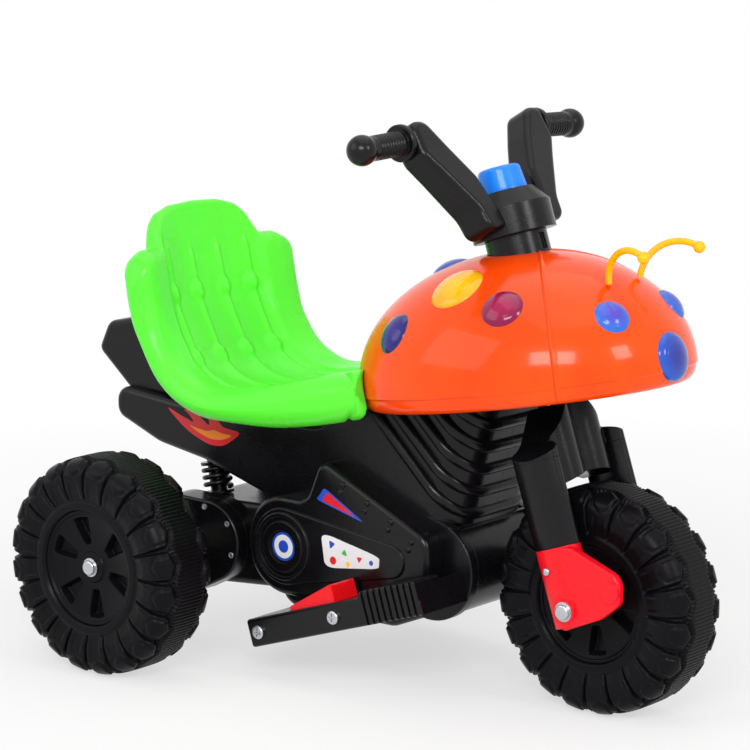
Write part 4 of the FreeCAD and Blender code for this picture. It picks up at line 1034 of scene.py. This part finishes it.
@dataclass
class RibbedGrips:
    """Hand grips with a flange, a ball end and slanting ribs."""

    inner: float = 98.5
    end: float = 171.0
    radius: float = 11.5
    ball: float = 14.0
    flange: float = 17.0
    flange_thickness: float = 6.0
    back: float = 22.0
    height: float = 441.5
    droop: float = 2.0
    droop_start: float = 97.0
    relief: float = 0.9
    rib_starts: int = 3
    rib_twist: float = 1.62
    around: int = 132
    rows: int = 150

    def profile(self) -> np.ndarray:
        """Draws half a grip's outline.

        Returns:
            Rows of distance along the grip and radius, from the flange to the tip of the ball.
        """
        middle = self.end - self.ball
        meet = middle - math.sqrt(self.ball ** 2 - self.radius ** 2)
        turn = np.linspace(math.pi - math.asin(self.radius / self.ball), 0.05, 26)
        start, face = self.inner, self.inner + self.flange_thickness
        flange = [(start, self.flange - 1.0), (start + 1.0, self.flange), (face - 1.0, self.flange),
                  (face, self.flange - 1.0), (face, self.radius)]
        plain = np.linspace(face + 0.5, meet - 0.5, self.rows)
        ball = [(middle + self.ball * math.cos(t), self.ball * math.sin(t)) for t in turn]
        return np.vstack((flange, np.column_stack((plain, np.full(self.rows, self.radius))), ball))

    def grip(self, side: int) -> np.ndarray:
        """Points of one grip.

        Args:
            side: 1 for the left grip, -1 for the right one.

        Returns:
            The points in millimetres from the front axle.
        """
        turn = turns(self.around)
        low, high = self.inner + self.flange_thickness + 2.0, self.end - 2.0 * self.ball + 1.0
        lean = math.radians(self.droop)
        rows = []
        for along, radius in self.profile():
            rib = np.cos(self.rib_starts * turn + along * self.rib_twist)
            fade = ramp(along, low, low + 3.0) * ramp(along, high, high - 3.0)
            reach = radius - self.relief * fade * ramp(rib, 0.5, -0.5)
            ahead, up = -self.back + reach * np.cos(turn), self.height + reach * np.sin(turn)
            out = self.droop_start + (along - self.droop_start) * math.cos(lean) + (up - self.height) * math.sin(lean)
            up = self.height - (along - self.droop_start) * math.sin(lean) + (up - self.height) * math.cos(lean)
            rows.append(steered(ahead, side * out, up))
        return np.vstack(rows)

    def build(self) -> None:
        """Makes both grips in place of their plain solids."""
        faces = tube_faces(len(self.profile()), self.around)
        for side, word in reversed(SIDES):
            new_piece("ribbed_grip_" + word, from_front(self.grip(side)), faces, "steering", "black_plastic",
                      ("grip_" + word,), sharp=40.0)


@dataclass
class ForkScrews:
    """Small round screw heads on the red fork ends."""

    ahead: float = -9.0
    up: float = 38.0
    rows: Flat = ((66.4, 3.5), (68.2, 3.5), (68.8, 3.2), (69.2, 2.4), (69.4, 1.2), (69.45, 0.3))
    around: int = 32

    def build(self) -> None:
        """Makes both screw heads."""
        turn = turns(self.around)
        x, _, z = steered(self.ahead, 0.0, self.up)[0]
        faces = tube_faces(len(self.rows), self.around)
        for side, word in reversed(SIDES):
            rings = [np.column_stack((x + r * np.cos(turn), np.full(self.around, side * y), z + r * np.sin(turn)))
                     for y, r in self.rows]
            new_piece("fork_screw_" + word, from_front(np.vstack(rings)), faces, "steering", "steel", sharp=50.0)


@dataclass
class WheelHubs:
    """Hubs with six pockets in a shallow bowl round the boss."""

    radius: float = 56.0
    rim: float = 30.5
    rim_inner: float = 52.0
    edge_break: float = 0.7
    bore: float = 5.05
    boss_radius: float = 14.0
    bowl: tuple[float, float] = (23.6, 28.4)
    inner_web: float = 19.0
    pockets: int = 6
    pocket_depth: float = 9.0
    pocket_soft: float = 1.4
    pocket_span: tuple[float, float] = (22.5, 48.0)
    pocket_half: tuple[float, float] = (3.4, 9.4)
    pocket_pairing: float = 3.0
    pocket_lean: float = 18.0
    pocket_ends: tuple[tuple[float, float], ...] = ((-1.2, 2.6), (1.0, -2.4))
    rim_soft: tuple[float, float] = (-0.8, 0.4)
    boss_soft: tuple[float, float] = (1.8, -0.2)
    columns: int = 420
    first_ring: float = 9.0
    web_rings: int = 76
    kinds: tuple[tuple[float, bool, bool], ...] = ((39.5, True, True), (26.0, True, False), (26.0, False, True))

    def face(self, angle: np.ndarray, radius: float, boss: float, outside: bool) -> np.ndarray:
        """Distance of one face from the wheel's middle along one row.

        Args:
            angle: angles round the wheel, in radians.
            radius: the row's distance from the axle.
            boss: half length of the boss.
            outside: whether the face is one that shows.

        Returns:
            The distances in millimetres.
        """
        low, high = self.bowl if outside else (self.inner_web, self.inner_web)
        share = np.clip((radius - self.boss_radius) / (self.rim_inner - self.boss_radius), 0.0, 1.0)
        level = low + (high - low) * share ** 2
        slot = 2 * math.pi / self.pockets
        index = np.floor(angle / slot)
        lean = np.radians(self.pocket_lean + np.where(index % 2 == 1, self.pocket_pairing, -self.pocket_pairing))
        across = np.abs(angle - index * slot - lean) * radius
        wide = float(np.interp(radius, self.pocket_span, self.pocket_half))
        near, far = (ramp(radius - end, *soft) for end, soft in zip(self.pocket_span, self.pocket_ends))
        wall = ramp(across, wide + self.pocket_soft, wide - self.pocket_soft)
        level = level - self.pocket_depth * wall * (near * far)
        level = level + (self.rim - level) * ramp(radius - self.rim_inner, *self.rim_soft)
        return level + (boss - level) * ramp(radius - self.boss_radius, *self.boss_soft)

    def points(self, boss: float, shown: Sequence[bool]) -> np.ndarray:
        """Points of one hub about its own middle.

        Args:
            boss: half length of the boss.
            shown: whether the right and the left face show.

        Returns:
            The points in metres.
        """
        angle = turns(self.columns)
        radii = np.concatenate(((self.bore,), np.linspace(self.first_ring, self.radius - 1.0, self.web_rings),
                                (self.radius - 0.3, self.radius)))
        rows = []
        for side, outside, order in ((-1, shown[0], radii), (1, shown[1], radii[::-1])):
            for r in order:
                worn = self.edge_break * ramp(r, self.radius - 1.0, self.radius)
                level = self.face(angle, r, boss, outside) - worn
                rows.append(np.column_stack((r * np.cos(angle), side * level, -r * np.sin(angle))))
        return np.vstack(rows) * MM

    def build(self) -> None:
        """Makes the three hubs in place of their plain solids."""
        for (pattern, body, joint), (boss, *shown) in zip(WHEELS, self.kinds):
            node = pattern.format("hub")
            points = self.points(boss, shown)
            faces = grid_faces(len(points) // self.columns, self.columns, True, True)
            new_piece(node + "_bowl", points + np.array(joint_place(joint)), faces, body, SLOT_OF[node], (node,),
                      sharp=50.0)


@dataclass
class DomeShells:
    """Orange cowl in two shells that meet at a beaded seam, with a rim that curls in over a floor."""

    dome: DomeForm
    apex: float = 29.0
    seam: float = 53.0
    seam_gap: float = 0.04
    hole_place: float = 9.0
    hole_radius: float = 30.4
    skirt: float = 20.0
    upright: float = 5.0
    curl: float = 12.0
    step: float = 1.7
    wall: float = 3.0
    bead: float = 1.1
    bead_place: float = 2.0
    bead_width: float = 1.5
    lip: float = 0.3
    lip_width: float = 0.7
    rows: int = 84
    curl_rows: int = 26
    seam_steps: tuple[float, ...] = (0.0, 0.2, 0.45, 0.75, 1.1, 1.5, 2.0, 2.6, 3.3)
    plain_start: float = 4.2
    plain_step: float = 1.3
    floor_columns: int = 180
    floor_rings: int = 14
    floor_gap: float = 0.4
    floor_hole: tuple[float, float] = (30.0, 19.6)
    floor_levels: tuple[float, float] = (-19.9, -17.0)

    def ends(self, angle: float, hole: float, hole_radius: float, inset: float) -> tuple[float, float]:
        """Where a line in plan from the seam's apex leaves the hole and the rim.

        Args:
            angle: its angle from straight ahead.
            hole: the hole's place ahead of the cowl's middle.
            hole_radius: its radius.
            inset: how far inside the rim the line ends.

        Returns:
            Both distances from the apex.
        """
        ahead, out = math.cos(angle), math.sin(angle)
        off = self.apex - hole
        start = -off * ahead + math.sqrt((off * ahead) ** 2 - off ** 2 + hole_radius ** 2)
        a, b = self.dome.length / 2 - inset, self.dome.width / 2 - inset
        lead, half, rest = (ahead / a) ** 2 + (out / b) ** 2, self.apex * ahead / a ** 2, (self.apex / a) ** 2 - 1
        return start, (-half + math.sqrt(half ** 2 - lead * rest)) / lead

    def slice(self, angle: float, front: bool) -> np.ndarray:
        """Closed section of a shell along one line in plan.

        Args:
            angle: the line's angle from straight ahead.
            front: whether the shell is the front one.

        Returns:
            The outer points from the hole down to the rim, then the inner ones back up.
        """
        axes = np.array((self.dome.length / 2, self.dome.width / 2, self.dome.rise))
        way = np.array((math.cos(angle), math.sin(angle)))
        start, end = self.ends(angle, self.hole_place, self.hole_radius, 0.0)
        reach = start + (end - start) * np.sin(np.linspace(0, math.pi / 2, self.rows))
        plan = np.array((self.apex, 0.0)) + reach[:, None] * way
        left = np.maximum(1.0 - ((plan / axes[:2]) ** 2).sum(axis=1), 0.0)
        top = np.column_stack((plan, self.dome.rise * np.sqrt(left)))
        outward = top / axes ** 2
        outward /= np.linalg.norm(outward, axis=1)[:, None]
        side = outward[-1]
        turn = np.linspace(0, math.pi / 2, self.curl_rows)
        inward = self.curl * (1 - np.cos(turn)) + self.step * ramp(turn, 0.0, 0.09)
        drop = self.upright + (self.skirt - self.upright) * np.sin(turn)
        low = top[-1] - np.outer(inward, side) - np.outer(drop, (0.0, 0.0, 1.0))
        low_way = np.outer(np.cos(turn), side) - np.outer(np.sin(turn), (0.0, 0.0, 1.0))
        line, ways = np.vstack((top, low)), np.vstack((outward, low_way))
        off = abs(abs((angle + math.pi) % (2 * math.pi) - math.pi) - math.radians(self.seam))
        away = np.concatenate((reach, np.full(self.curl_rows, end))) * math.sin(min(off, math.pi / 2))
        bead = self.bead * np.exp(-(((away - self.bead_place) / self.bead_width) ** 2)) if front else 0.0
        lip = self.lip * np.exp(-((away / self.lip_width) ** 2))
        lift = (bead - lip) * np.concatenate((np.ones(self.rows), ramp(turn, 1.0, 0.2)))
        return np.vstack((line + ways * lift[:, None], (line - ways * self.wall)[::-1]))

    def shell(self, name: str, node: str, first: float, last: float, front: bool) -> None:
        """Makes one shell.

        Args:
            name: its name.
            node: CAD node that it stands for.
            first: angle in degrees at which it starts.
            last: angle at which it ends.
            front: whether it is the front shell.
        """
        close = np.array(self.seam_steps)
        middle = np.linspace(first + self.plain_start, last - self.plain_start, int((last - first) / self.plain_step))
        angles = np.radians(np.concatenate((first + close, middle, last - close[::-1])))
        slices = [self.slice(float(a), front) for a in angles]
        count = len(slices[0])
        faces = grid_faces(len(slices), count, False, True)
        for start in (0, (len(slices) - 1) * count):
            faces += [(start + i, start + i + 1, start + count - 2 - i, start + count - 1 - i)
                      for i in range(count // 2 - 1)]
        points = from_front(self.dome.placed(np.vstack(slices)))
        new_piece(name, points, faces, "chassis", SLOT_OF[node], (node,), sharp=50.0)

    def floor(self) -> None:
        """Makes the black floor inside the curled rim."""
        angles = turns(self.floor_columns)
        shares = np.linspace(0, 1, self.floor_rings)
        inset = self.curl + self.step + self.floor_gap
        rows = []
        for level, order in zip(self.floor_levels, (shares, shares[::-1])):
            for share in order:
                ring = []
                for angle in angles:
                    start, end = self.ends(angle, *self.floor_hole, inset)
                    reach = start + (end - start) * share
                    ring.append((self.apex + reach * math.cos(angle), reach * math.sin(angle), level))
                rows.append(ring)
        points = from_front(self.dome.placed(np.array(rows).reshape(-1, 3)))
        new_piece("dome_floor", points, grid_faces(len(rows), len(angles), True, True), "chassis",
                  SLOT_OF["dome_tray"], ("dome_tray",), sharp=40.0)

    def build(self) -> None:
        """Makes both shells and the floor under them."""
        first, gap = self.seam, self.seam_gap
        self.shell("dome_front_curl", "dome_front_shell", gap - first, first - gap, True)
        self.shell("dome_rear_curl", "dome_rear_shell", first + gap, 360.0 - first - gap, False)
        self.floor()


@dataclass
class EngineCovers:
    """Engine covers with a smooth field for the pennant and paired studs along their sloping edge."""

    face: float = 86.0
    plateau: float = 88.0
    stud_top: float = 88.4
    plateau_ends: tuple[tuple[float, float, float], ...] = ((-314.0, 121.0, 37.0), (-184.0, 126.0, 16.0))
    stud_places: Flat = ((-241.0, 190.5), (-212.0, 177.0), (-184.0, 163.5), (-160.0, 148.0))
    stud_drop: tuple[float, float] = (-3.6, -7.6)
    stud_radius: float = 2.9
    stud_rings: Flat = ((1.0, -1.0), (1.0, 0.9), (0.9, 1.6), (0.7, 2.05), (0.4, 2.3), (0.05, 2.4))
    around: int = 28

    def on_plateau(self, spots: np.ndarray) -> np.ndarray:
        """Tells which places are on the cover's raised field.

        Args:
            spots: places, back and up, in millimetres from the front axle.

        Returns:
            True for each place on the field.
        """
        (u0, z0, r0), (u1, z1, r1) = self.plateau_ends
        share = np.clip((spots[:, 0] - u0) / (u1 - u0), 0.0, 1.0)[:, None]
        near = np.array((u0, z0)) + share * np.array((u1 - u0, z1 - z0))
        return np.linalg.norm(spots - near, axis=1) < r0 + (r1 - r0) * share[:, 0]

    def smooth(self, mesh: bpy.types.Mesh) -> None:
        """Takes the small studs of a copied cover down to the ground round them.

        Args:
            mesh: the copy.
        """
        spots = np.empty(len(mesh.vertices) * 3)
        mesh.vertices.foreach_get("co", spots)
        spots = spots.reshape(-1, 3)
        proud = np.abs(np.abs(spots[:, 1]) - self.stud_top * MM) < 0.05 * MM
        places = (spots[:, (0, 2)] - np.array((FRONT_AXLE.x, 0.0))) / MM
        ground = np.where(self.on_plateau(places), self.plateau, self.face) * MM
        spots[:, 1] = np.where(proud, np.sign(spots[:, 1]) * ground, spots[:, 1])
        mesh.vertices.foreach_set("co", spots.ravel())
        shape = bmesh.new()
        shape.from_mesh(mesh)
        bmesh.ops.remove_doubles(shape, verts=shape.verts, dist=2e-5)
        bmesh.ops.dissolve_degenerate(shape, edges=shape.edges, dist=1e-6)
        shape.to_mesh(mesh)
        shape.free()

    def stud(self, u: float, z: float, side: int) -> np.ndarray:
        """Makes the points of one domed stud.

        Args:
            u: its place from the front axle, negative to the rear.
            z: its height.
            side: 1 for the left cover, -1 for the right one.

        Returns:
            Rings of points in millimetres from the front axle.
        """
        turn = turns(self.around)
        rings = []
        for share, rise in self.stud_rings:
            spots = np.full((self.around, 3), side * (self.face + rise))
            spots[:, 0] = u + self.stud_radius * share * np.cos(turn)
            spots[:, 2] = z + self.stud_radius * share * np.sin(turn)
            rings.append(spots)
        return np.vstack(rings)

    def build(self) -> None:
        """Makes both covers in place of the plain ones, and their studs."""
        for side, word in SIDES:
            node = "engine_cover_" + word
            mesh = frame["nodes"][node].data.copy()
            self.smooth(mesh)
            points = [tuple(v.co) for v in mesh.vertices]
            faces = [tuple(p.vertices) for p in mesh.polygons]
            for u, z in self.stud_places:
                for share in (0, 1):
                    spots = self.stud(u + share * self.stud_drop[0], z + share * self.stud_drop[1], side)
                    faces += tube_faces(len(self.stud_rings), self.around, len(points))
                    points += [tuple(p) for p in from_front(spots)]
            new_piece(node + "_studded", np.array(points), faces, "chassis", SLOT_OF[node], (node,), sharp=35.0)


@dataclass
class DomeLenses:
    """Coloured lenses let into the orange cowl."""

    dome: DomeForm
    sink: float = 6.0
    drop: float = 0.5
    bulge: float = 7.0
    edge_round: float = 1.4
    around: int = 72
    rings: int = 18
    pairs: tuple[tuple[str, float, float, float], ...] = (
        ("indigo", -62.0, 108.0, 20.0), ("yellow", -3.0, 84.0, 26.0), ("crimson", 56.0, 98.0, 20.0),
        ("violet", 137.0, 47.0, 17.0))
    middles: tuple[tuple[str, float, float], ...] = (("blue", 165.2, 22.0), ("blue", -72.0, 20.0))

    def cap(self, ahead: float, out: float, radius: float) -> tuple[np.ndarray, np.ndarray]:
        """One lens in its place.

        Args:
            ahead: its distance ahead of the cowl's middle.
            out: its distance to the left.
            radius: its radius.

        Returns:
            Its points in millimetres from the front axle, and how far out each is from 0 to 1.
        """
        bow = (radius ** 2 + self.bulge ** 2) / (2 * self.bulge)
        shares = np.linspace(0.02, 1, self.rings)
        radii = radius * shares
        heights = self.bulge - bow + np.sqrt(np.maximum(bow ** 2 - radii ** 2, 0.0))
        heights = heights - self.edge_round * ramp(shares, 0.86, 1.0)
        radii = np.append(radii, (radius, radius))
        heights = np.append(heights, (-self.edge_round - 1.0, -self.sink))
        turn = turns(self.around)[:, None]
        spot, outward = self.dome.surface(ahead, out)
        first, second = square_to(outward)
        ring = np.cos(turn) * first + np.sin(turn) * second
        rows = [spot + outward * (h - self.drop) + r * ring for r, h in zip(radii, heights)]
        reach = np.repeat(np.append(shares, (1.0, 1.0)), self.around)
        return self.dome.placed(np.vstack(rows)), reach

    def build(self) -> None:
        """Makes the lenses of each colour in place of their plain solids."""
        places = [(name, ahead, side * out, radius) for name, ahead, out, radius in self.pairs for side in (1, -1)]
        places += [(name, ahead, 0.0, radius) for name, ahead, radius in self.middles]
        rows = self.rings + 2
        for colour in dict.fromkeys(name for name, *_ in places):
            caps = [self.cap(*place) for name, *place in places if name == colour]
            faces = [face for i in range(len(caps)) for face in tube_faces(rows, self.around, i * rows * self.around)]
            points = from_front(np.vstack([spots for spots, _ in caps]))
            piece = new_piece("lens_caps_" + colour, points, faces, "chassis", colour + "_lens",
                              ("lenses_" + colour,), sharp=50.0)
            # reach tells how far out on its lens each point is; the lens finish paints light and shade across the
            # dome from it.
            reach = piece.data.attributes.new("reach", "FLOAT", "POINT")
            reach.data.foreach_set("value", np.concatenate([shares for _, shares in caps]).astype(np.float32))


@dataclass
class ShockSprings:
    """Round-wire coils of the two dummy shock absorbers."""

    low: tuple[float, float] = (-436.0, 141.0)
    high: tuple[float, float] = (-444.0, 186.3)
    half: float = 40.0
    coil_radius: float = 12.5
    wire_radius: float = 2.4
    turns: int = 3
    pitch: float = 7.0
    steps: int = 192
    sides: int = 16
    end_shares: tuple[float, ...] = (0.55, 0.8, 0.93, 0.98)

    def tube(self, side: float) -> np.ndarray:
        """Rings of points along one coil.

        Args:
            side: 1 for the left coil, -1 for the right one.

        Returns:
            The points in millimetres from the front axle.
        """
        low = np.array((self.low[0], -self.half, self.low[1]))
        line = np.array((self.high[0], -self.half, self.high[1])) - low
        length = np.linalg.norm(line)
        up = line / length
        first, second = square_to(up)
        start = (length - self.pitch * self.turns) / 2
        turn = np.linspace(0, 2 * math.pi * self.turns, self.steps)
        around = turns(self.sides)[:, None]
        rows = []
        for i, t in enumerate(turn):
            out = math.cos(t) * first + math.sin(t) * second
            way = self.coil_radius * (math.cos(t) * second - math.sin(t) * first) + up * self.pitch / (2 * math.pi)
            across = np.cross(way / np.linalg.norm(way), out)
            ends = min(i, self.steps - 1 - i)
            wire = self.wire_radius * (self.end_shares[ends] if ends < len(self.end_shares) else 1.0)
            middle = low + up * (start + self.pitch * t / (2 * math.pi)) + out * self.coil_radius
            rows.append(middle + wire * (np.cos(around) * out + np.sin(around) * across))
        return np.vstack(rows) * (1, -side, 1)

    def build(self) -> bpy.types.Object:
        """Makes both coils in place of their plain solids.

        Returns:
            The coils.
        """
        coils = [self.tube(side) for side, _ in SIDES]
        count = self.steps * self.sides
        faces = [face for i in range(len(coils)) for face in tube_faces(self.steps, self.sides, i * count)]
        return new_piece("shock_springs", from_front(np.vstack(coils)), faces, "chassis",
                         SLOT_OF["shock_coils"], ("shock_coils",), sharp=60.0)


class Ink(Enum):
    """Inks of the printed stickers."""

    RED = screen(226, 24, 34)
    ORANGE = screen(255, 138, 20)
    BLUE = screen(34, 78, 196)
    WHITE = screen(238, 238, 240)
    GREEN = screen(60, 186, 70)
    YELLOW = screen(255, 206, 20)


@dataclass
class StickerShape:
    """One flat printed shape of a sticker."""

    ink: Ink
    outline: np.ndarray
    layer: int


@dataclass
class Stickers:
    """Generic printed stickers on the tail and on the engine covers."""

    tail_face: float = 62.0
    cover_face: float = 86.0
    badge_face: float = 87.0
    plate_face: float = 88.0
    ground_gap: float = 0.02
    sheet: float = 0.14
    flame: Flat = (
        (-391, 217), (-400, 209), (-413, 202), (-429, 201), (-446, 206), (-461, 213), (-474, 222), (-484, 231),
        (-469, 226), (-459, 223), (-451, 221), (-456, 227), (-463, 232), (-448, 230), (-439, 225), (-431, 220),
        (-431, 226), (-435, 231), (-422, 229), (-413, 221), (-402, 219))
    flame_heart: Flat = (
        (-402, 213), (-413, 208), (-428, 207), (-443, 211), (-456, 217), (-444, 215), (-433, 214), (-424, 216),
        (-414, 214))
    pennant: Flat = ((-274, 172.3), (-264, 185), (-215, 157.5))
    plate: Flat = ((-267, 142.5), (-262, 108.5), (-197, 117), (-196, 128.5))
    loose: tuple[tuple[Ink, float, float, float], ...] = (
        (Ink.BLUE, -254, 132, 5.0), (Ink.RED, -252, 117, 5.5), (Ink.GREEN, -238, 126, 4.2),
        (Ink.YELLOW, -234, 116, 3.6), (Ink.RED, -220, 123, 4.0), (Ink.BLUE, -206, 121.5, 3.4))
    badge: tuple[float, float] = (-314.0, 121.0)
    corner_soft: float = 0.12
    plate_soft: float = 0.22
    loose_soft: float = 0.3
    loose_lean: float = 0.6
    loose_disc: float = 0.7
    loose_corners: tuple[float, ...] = (0.3, 2.2, 4.4)
    pennant_inset: float = 0.3
    badge_rings: tuple[tuple[Ink, float], ...] = ((Ink.BLUE, 14.0), (Ink.WHITE, 11.5), (Ink.BLUE, 6.0))

    @staticmethod
    def disc(u: float, z: float, radius: float) -> np.ndarray:
        """Round outline about a point."""
        turn = turns(64)
        return np.column_stack((u + radius * np.cos(turn), z + radius * np.sin(turn)))

    @staticmethod
    def softened(corners: Flat, shrink: float, soft: float) -> np.ndarray:
        """Outline of a cornered shape, drawn in and with its corners rounded.

        Args:
            corners: the shape's corners.
            shrink: share of the way that each corner moves to the middle.
            soft: share of each side that the rounding takes.

        Returns:
            The outline.
        """
        spots = np.array(corners, float)
        spots = spots + (spots.mean(axis=0) - spots) * shrink
        line = []
        for before, corner, after in zip(np.roll(spots, 1, axis=0), spots, np.roll(spots, -1, axis=0)):
            start, end = corner + (before - corner) * soft, corner + (after - corner) * soft
            t = np.linspace(0, 1, 12)[:, None]
            line.append((1 - t) ** 2 * start + 2 * t * (1 - t) * corner + t ** 2 * end)
        return np.vstack(line)

    def pennant_shapes(self) -> list[StickerShape]:
        """Pennant in two colours."""
        return [StickerShape(Ink.BLUE, self.softened(self.pennant, 0.0, self.corner_soft), 1),
                StickerShape(Ink.RED, self.softened(self.pennant, self.pennant_inset, self.corner_soft), 2)]

    def plate_shapes(self) -> list[StickerShape]:
        """White plate with loose discs and three-cornered shapes in turn.

        Returns:
            The shapes, the plate first.
        """
        shapes = [StickerShape(Ink.WHITE, self.softened(self.plate, 0.0, self.plate_soft), 1)]
        for i, (ink, u, z, size) in enumerate(self.loose):
            ways = [self.loose_lean * i + corner for corner in self.loose_corners]
            corners = tuple((u + size * math.cos(way), z + size * math.sin(way)) for way in ways)
            if i % 2:
                outline = self.disc(u, z, size * self.loose_disc)
            else:
                outline = self.softened(corners, 0.0, self.loose_soft)
            shapes.append(StickerShape(ink, outline, 2))
        return shapes

    def badge_shapes(self) -> list[StickerShape]:
        """Plain round badge of rings."""
        return [StickerShape(ink, self.disc(*self.badge, radius), layer)
                for layer, (ink, radius) in enumerate(self.badge_rings, 1)]

    def tail_shapes(self) -> list[StickerShape]:
        """Flame with a paler heart."""
        return [StickerShape(Ink.RED, smooth_line(np.array(self.flame, float), 160, True), 1),
                StickerShape(Ink.ORANGE, smooth_line(np.array(self.flame_heart, float), 90, True), 2)]

    def stick(self, name: str, shapes: list[StickerShape], face: float, side: int) -> None:
        """Makes one sticker of thin closed sheets.

        Args:
            name: the sticker's name.
            shapes: its shapes.
            face: distance of its ground from the middle of the trike.
            side: 1 for the left side, -1 for the right.
        """
        points: list[np.ndarray] = []
        faces: Faces = []
        inks: list[Colour] = []
        for shape in shapes:
            start, count = len(inks), len(shape.outline)
            for lift in (self.ground_gap, self.sheet * shape.layer):
                spots = np.full((count, 3), side * (face + lift))
                spots[:, (0, 2)] = shape.outline
                points.append(spots)
            inks += [shape.ink.value] * (2 * count)
            faces += [tuple(start + k for k in range(count)), tuple(start + count + k for k in range(count))]
            faces += [tuple(start + k for k in quad) for quad in grid_faces(2, count, False, True)]
        piece = new_piece(name, from_front(np.vstack(points)), faces, "chassis", "black_plastic", (), Print(), 30.0)
        ink = piece.data.color_attributes.new("ink", "FLOAT_COLOR", "POINT")
        ink.data.foreach_set("color", np.array(inks, np.float32).ravel())

    def build(self) -> None:
        """Puts the stickers on both sides."""
        for side, word in SIDES:
            self.stick("flame_sticker_" + word, self.tail_shapes(), self.tail_face, side)
            self.stick("pennant_sticker_" + word, self.pennant_shapes(), self.cover_face, side)
            self.stick("plate_sticker_" + word, self.plate_shapes(), self.plate_face, side)
            self.stick("badge_sticker_" + word, self.badge_shapes(), self.badge_face, side)


class Livery:
    """Puts the finishes on the carried-over CAD nodes."""

    def dress(self) -> None:
        """Gives every CAD node the finish of its slot."""
        for name, node in frame["nodes"].items():
            finish = FINISHES[SLOT_OF[name]].material()
            if not node.material_slots:
                node.data.materials.append(finish)
            for slot in node.material_slots:
                slot.material = finish
            LOG.info("%s: finish %s", name, SLOT_OF[name])


@dataclass(frozen=True)
class Softbox:
    """One studio lamp."""

    name: str
    place: tuple[float, float, float]
    width: float
    height: float
    power: float


@dataclass
class Studio:
    """Pale floor, soft lamps and the camera at the photograph's angle."""

    aim: tuple[float, float, float] = (-0.0293, 0.0, 0.279)
    eye: tuple[float, float, float] = (1.8126, -2.2722, 0.8111)
    lens: float = 149.57
    ambient: float = 0.4
    floor_glow: tuple[float, float] = (0.62, 1.0)
    floor_fade: tuple[float, float] = (0.45, 1.3)
    floor_size: float = 30.0
    paper: Colour = (0.93, 0.93, 0.93, 1.0)
    lamps: tuple[Softbox, ...] = (
        Softbox("front_softbox", (1.55, -2.3, 1.75), 1.5, 0.75, 46.0),
        Softbox("right_softbox", (2.9, -0.15, 1.75), 0.75, 0.75, 20.0),
        Softbox("left_softbox", (-1.5, -2.5, 1.9), 2.4, 1.8, 22.0),
        Softbox("top_softbox", (0.1, 0.2, 2.8), 3.0, 2.4, 20.0),
    )

    def background(self, board: Board) -> bpy.types.NodeSocket:
        """Mask of the rays that see the background: camera, mirror and glass rays.

        Args:
            board: the tree it goes into.

        Returns:
            The mask's output.
        """
        path = board.add("ShaderNodeLightPath").outputs
        seen = board.sum("MAXIMUM", path["Is Camera Ray"], path["Is Glossy Ray"])
        return board.sum("MAXIMUM", seen, path["Is Transmission Ray"])

    def world(self) -> None:
        """White surroundings that light the trike softly."""
        world = bpy.data.worlds.new("studio")
        board = Board.emptied(world)
        strength = board.span(self.background(board), 0.0, 1.0, self.ambient, 1.0)
        sky = board.add("ShaderNodeBackground", {"Color": (1.0, 1.0, 1.0, 1.0), "Strength": strength})
        board.add("ShaderNodeOutputWorld", {0: sky.outputs[0]})
        bpy.context.scene.world = world

    def floor(self) -> None:
        """White floor that keeps the trike's shadow."""
        half = self.floor_size / 2
        mesh = bpy.data.meshes.new("studio_floor")
        mesh.from_pydata([(-half, -half, 0), (half, -half, 0), (half, half, 0), (-half, half, 0)], [], [(0, 1, 2, 3)])
        floor = bpy.data.objects.new("studio_floor", mesh)
        bpy.context.scene.collection.objects.link(floor)
        paper = bpy.data.materials.new("studio_paper")
        board = Board.emptied(paper)
        matt = board.add("ShaderNodeBsdfDiffuse", {"Color": self.paper})
        glow = board.add("ShaderNodeEmission", {"Color": (1.0, 1.0, 1.0, 1.0), "Strength": 1.0})
        spot = board.add("ShaderNodeNewGeometry").outputs["Position"]
        away = board.add("ShaderNodeVectorMath", {0: spot}, operation="LENGTH").outputs["Value"]
        share = board.sum("MULTIPLY", self.background(board), board.span(away, *self.floor_fade, *self.floor_glow))
        mixed = board.add("ShaderNodeMixShader", {0: share, 1: matt.outputs[0], 2: glow.outputs[0]})
        board.add("ShaderNodeOutputMaterial", {0: mixed.outputs[0]})
        mesh.materials.append(paper)

    def aimed(self, name: str, data: bpy.types.ID, place: Sequence[float]) -> bpy.types.Object:
        """Puts a lamp or the camera in its place, facing the trike.

        Args:
            name: its name.
            data: the lamp or camera.
            place: where it stands, in metres.

        Returns:
            The object that holds it.
        """
        holder = bpy.data.objects.new(name, data)
        holder.location = place
        holder.rotation_euler = (Vector(self.aim) - Vector(place)).to_track_quat("-Z", "Y").to_euler()
        bpy.context.scene.collection.objects.link(holder)
        return holder

    def light(self) -> None:
        """Softboxes that face the trike."""
        for box in self.lamps:
            lamp = bpy.data.lights.new(box.name, "AREA")
            lamp.shape = "RECTANGLE"
            lamp.size, lamp.size_y, lamp.energy = box.width, box.height, box.power
            self.aimed(box.name, lamp, box.place)

    def camera(self) -> None:
        """Camera at the photograph's angle."""
        data = bpy.data.cameras.new("photo_camera")
        data.lens, data.sensor_width, data.clip_end = self.lens, 36.0, 100.0
        bpy.context.scene.camera = self.aimed("photo_camera", data, self.eye)

    def build(self) -> None:
        """Sets the whole studio up."""
        self.world()
        self.floor()
        self.light()
        self.camera()
        bpy.context.scene.view_settings.view_transform = "Standard"


def main() -> None:
    """Builds the studio and the trike's pieces in order."""
    logging.basicConfig(level=logging.INFO, format="%(message)s")
    Studio().build()
    dome = DomeForm()
    Livery().dress()
    BucketSeat(dome).build()
    ChunkyTyre().build()
    WheelHubs().build()
    RibbedGrips().build()
    ForkScrews().build()
    DomeShells(dome).build()
    DomeLenses(dome).build()
    EngineCovers().build()
    ShockSprings().build()
    Stickers().build()


if __name__ == "__main__":
    main()
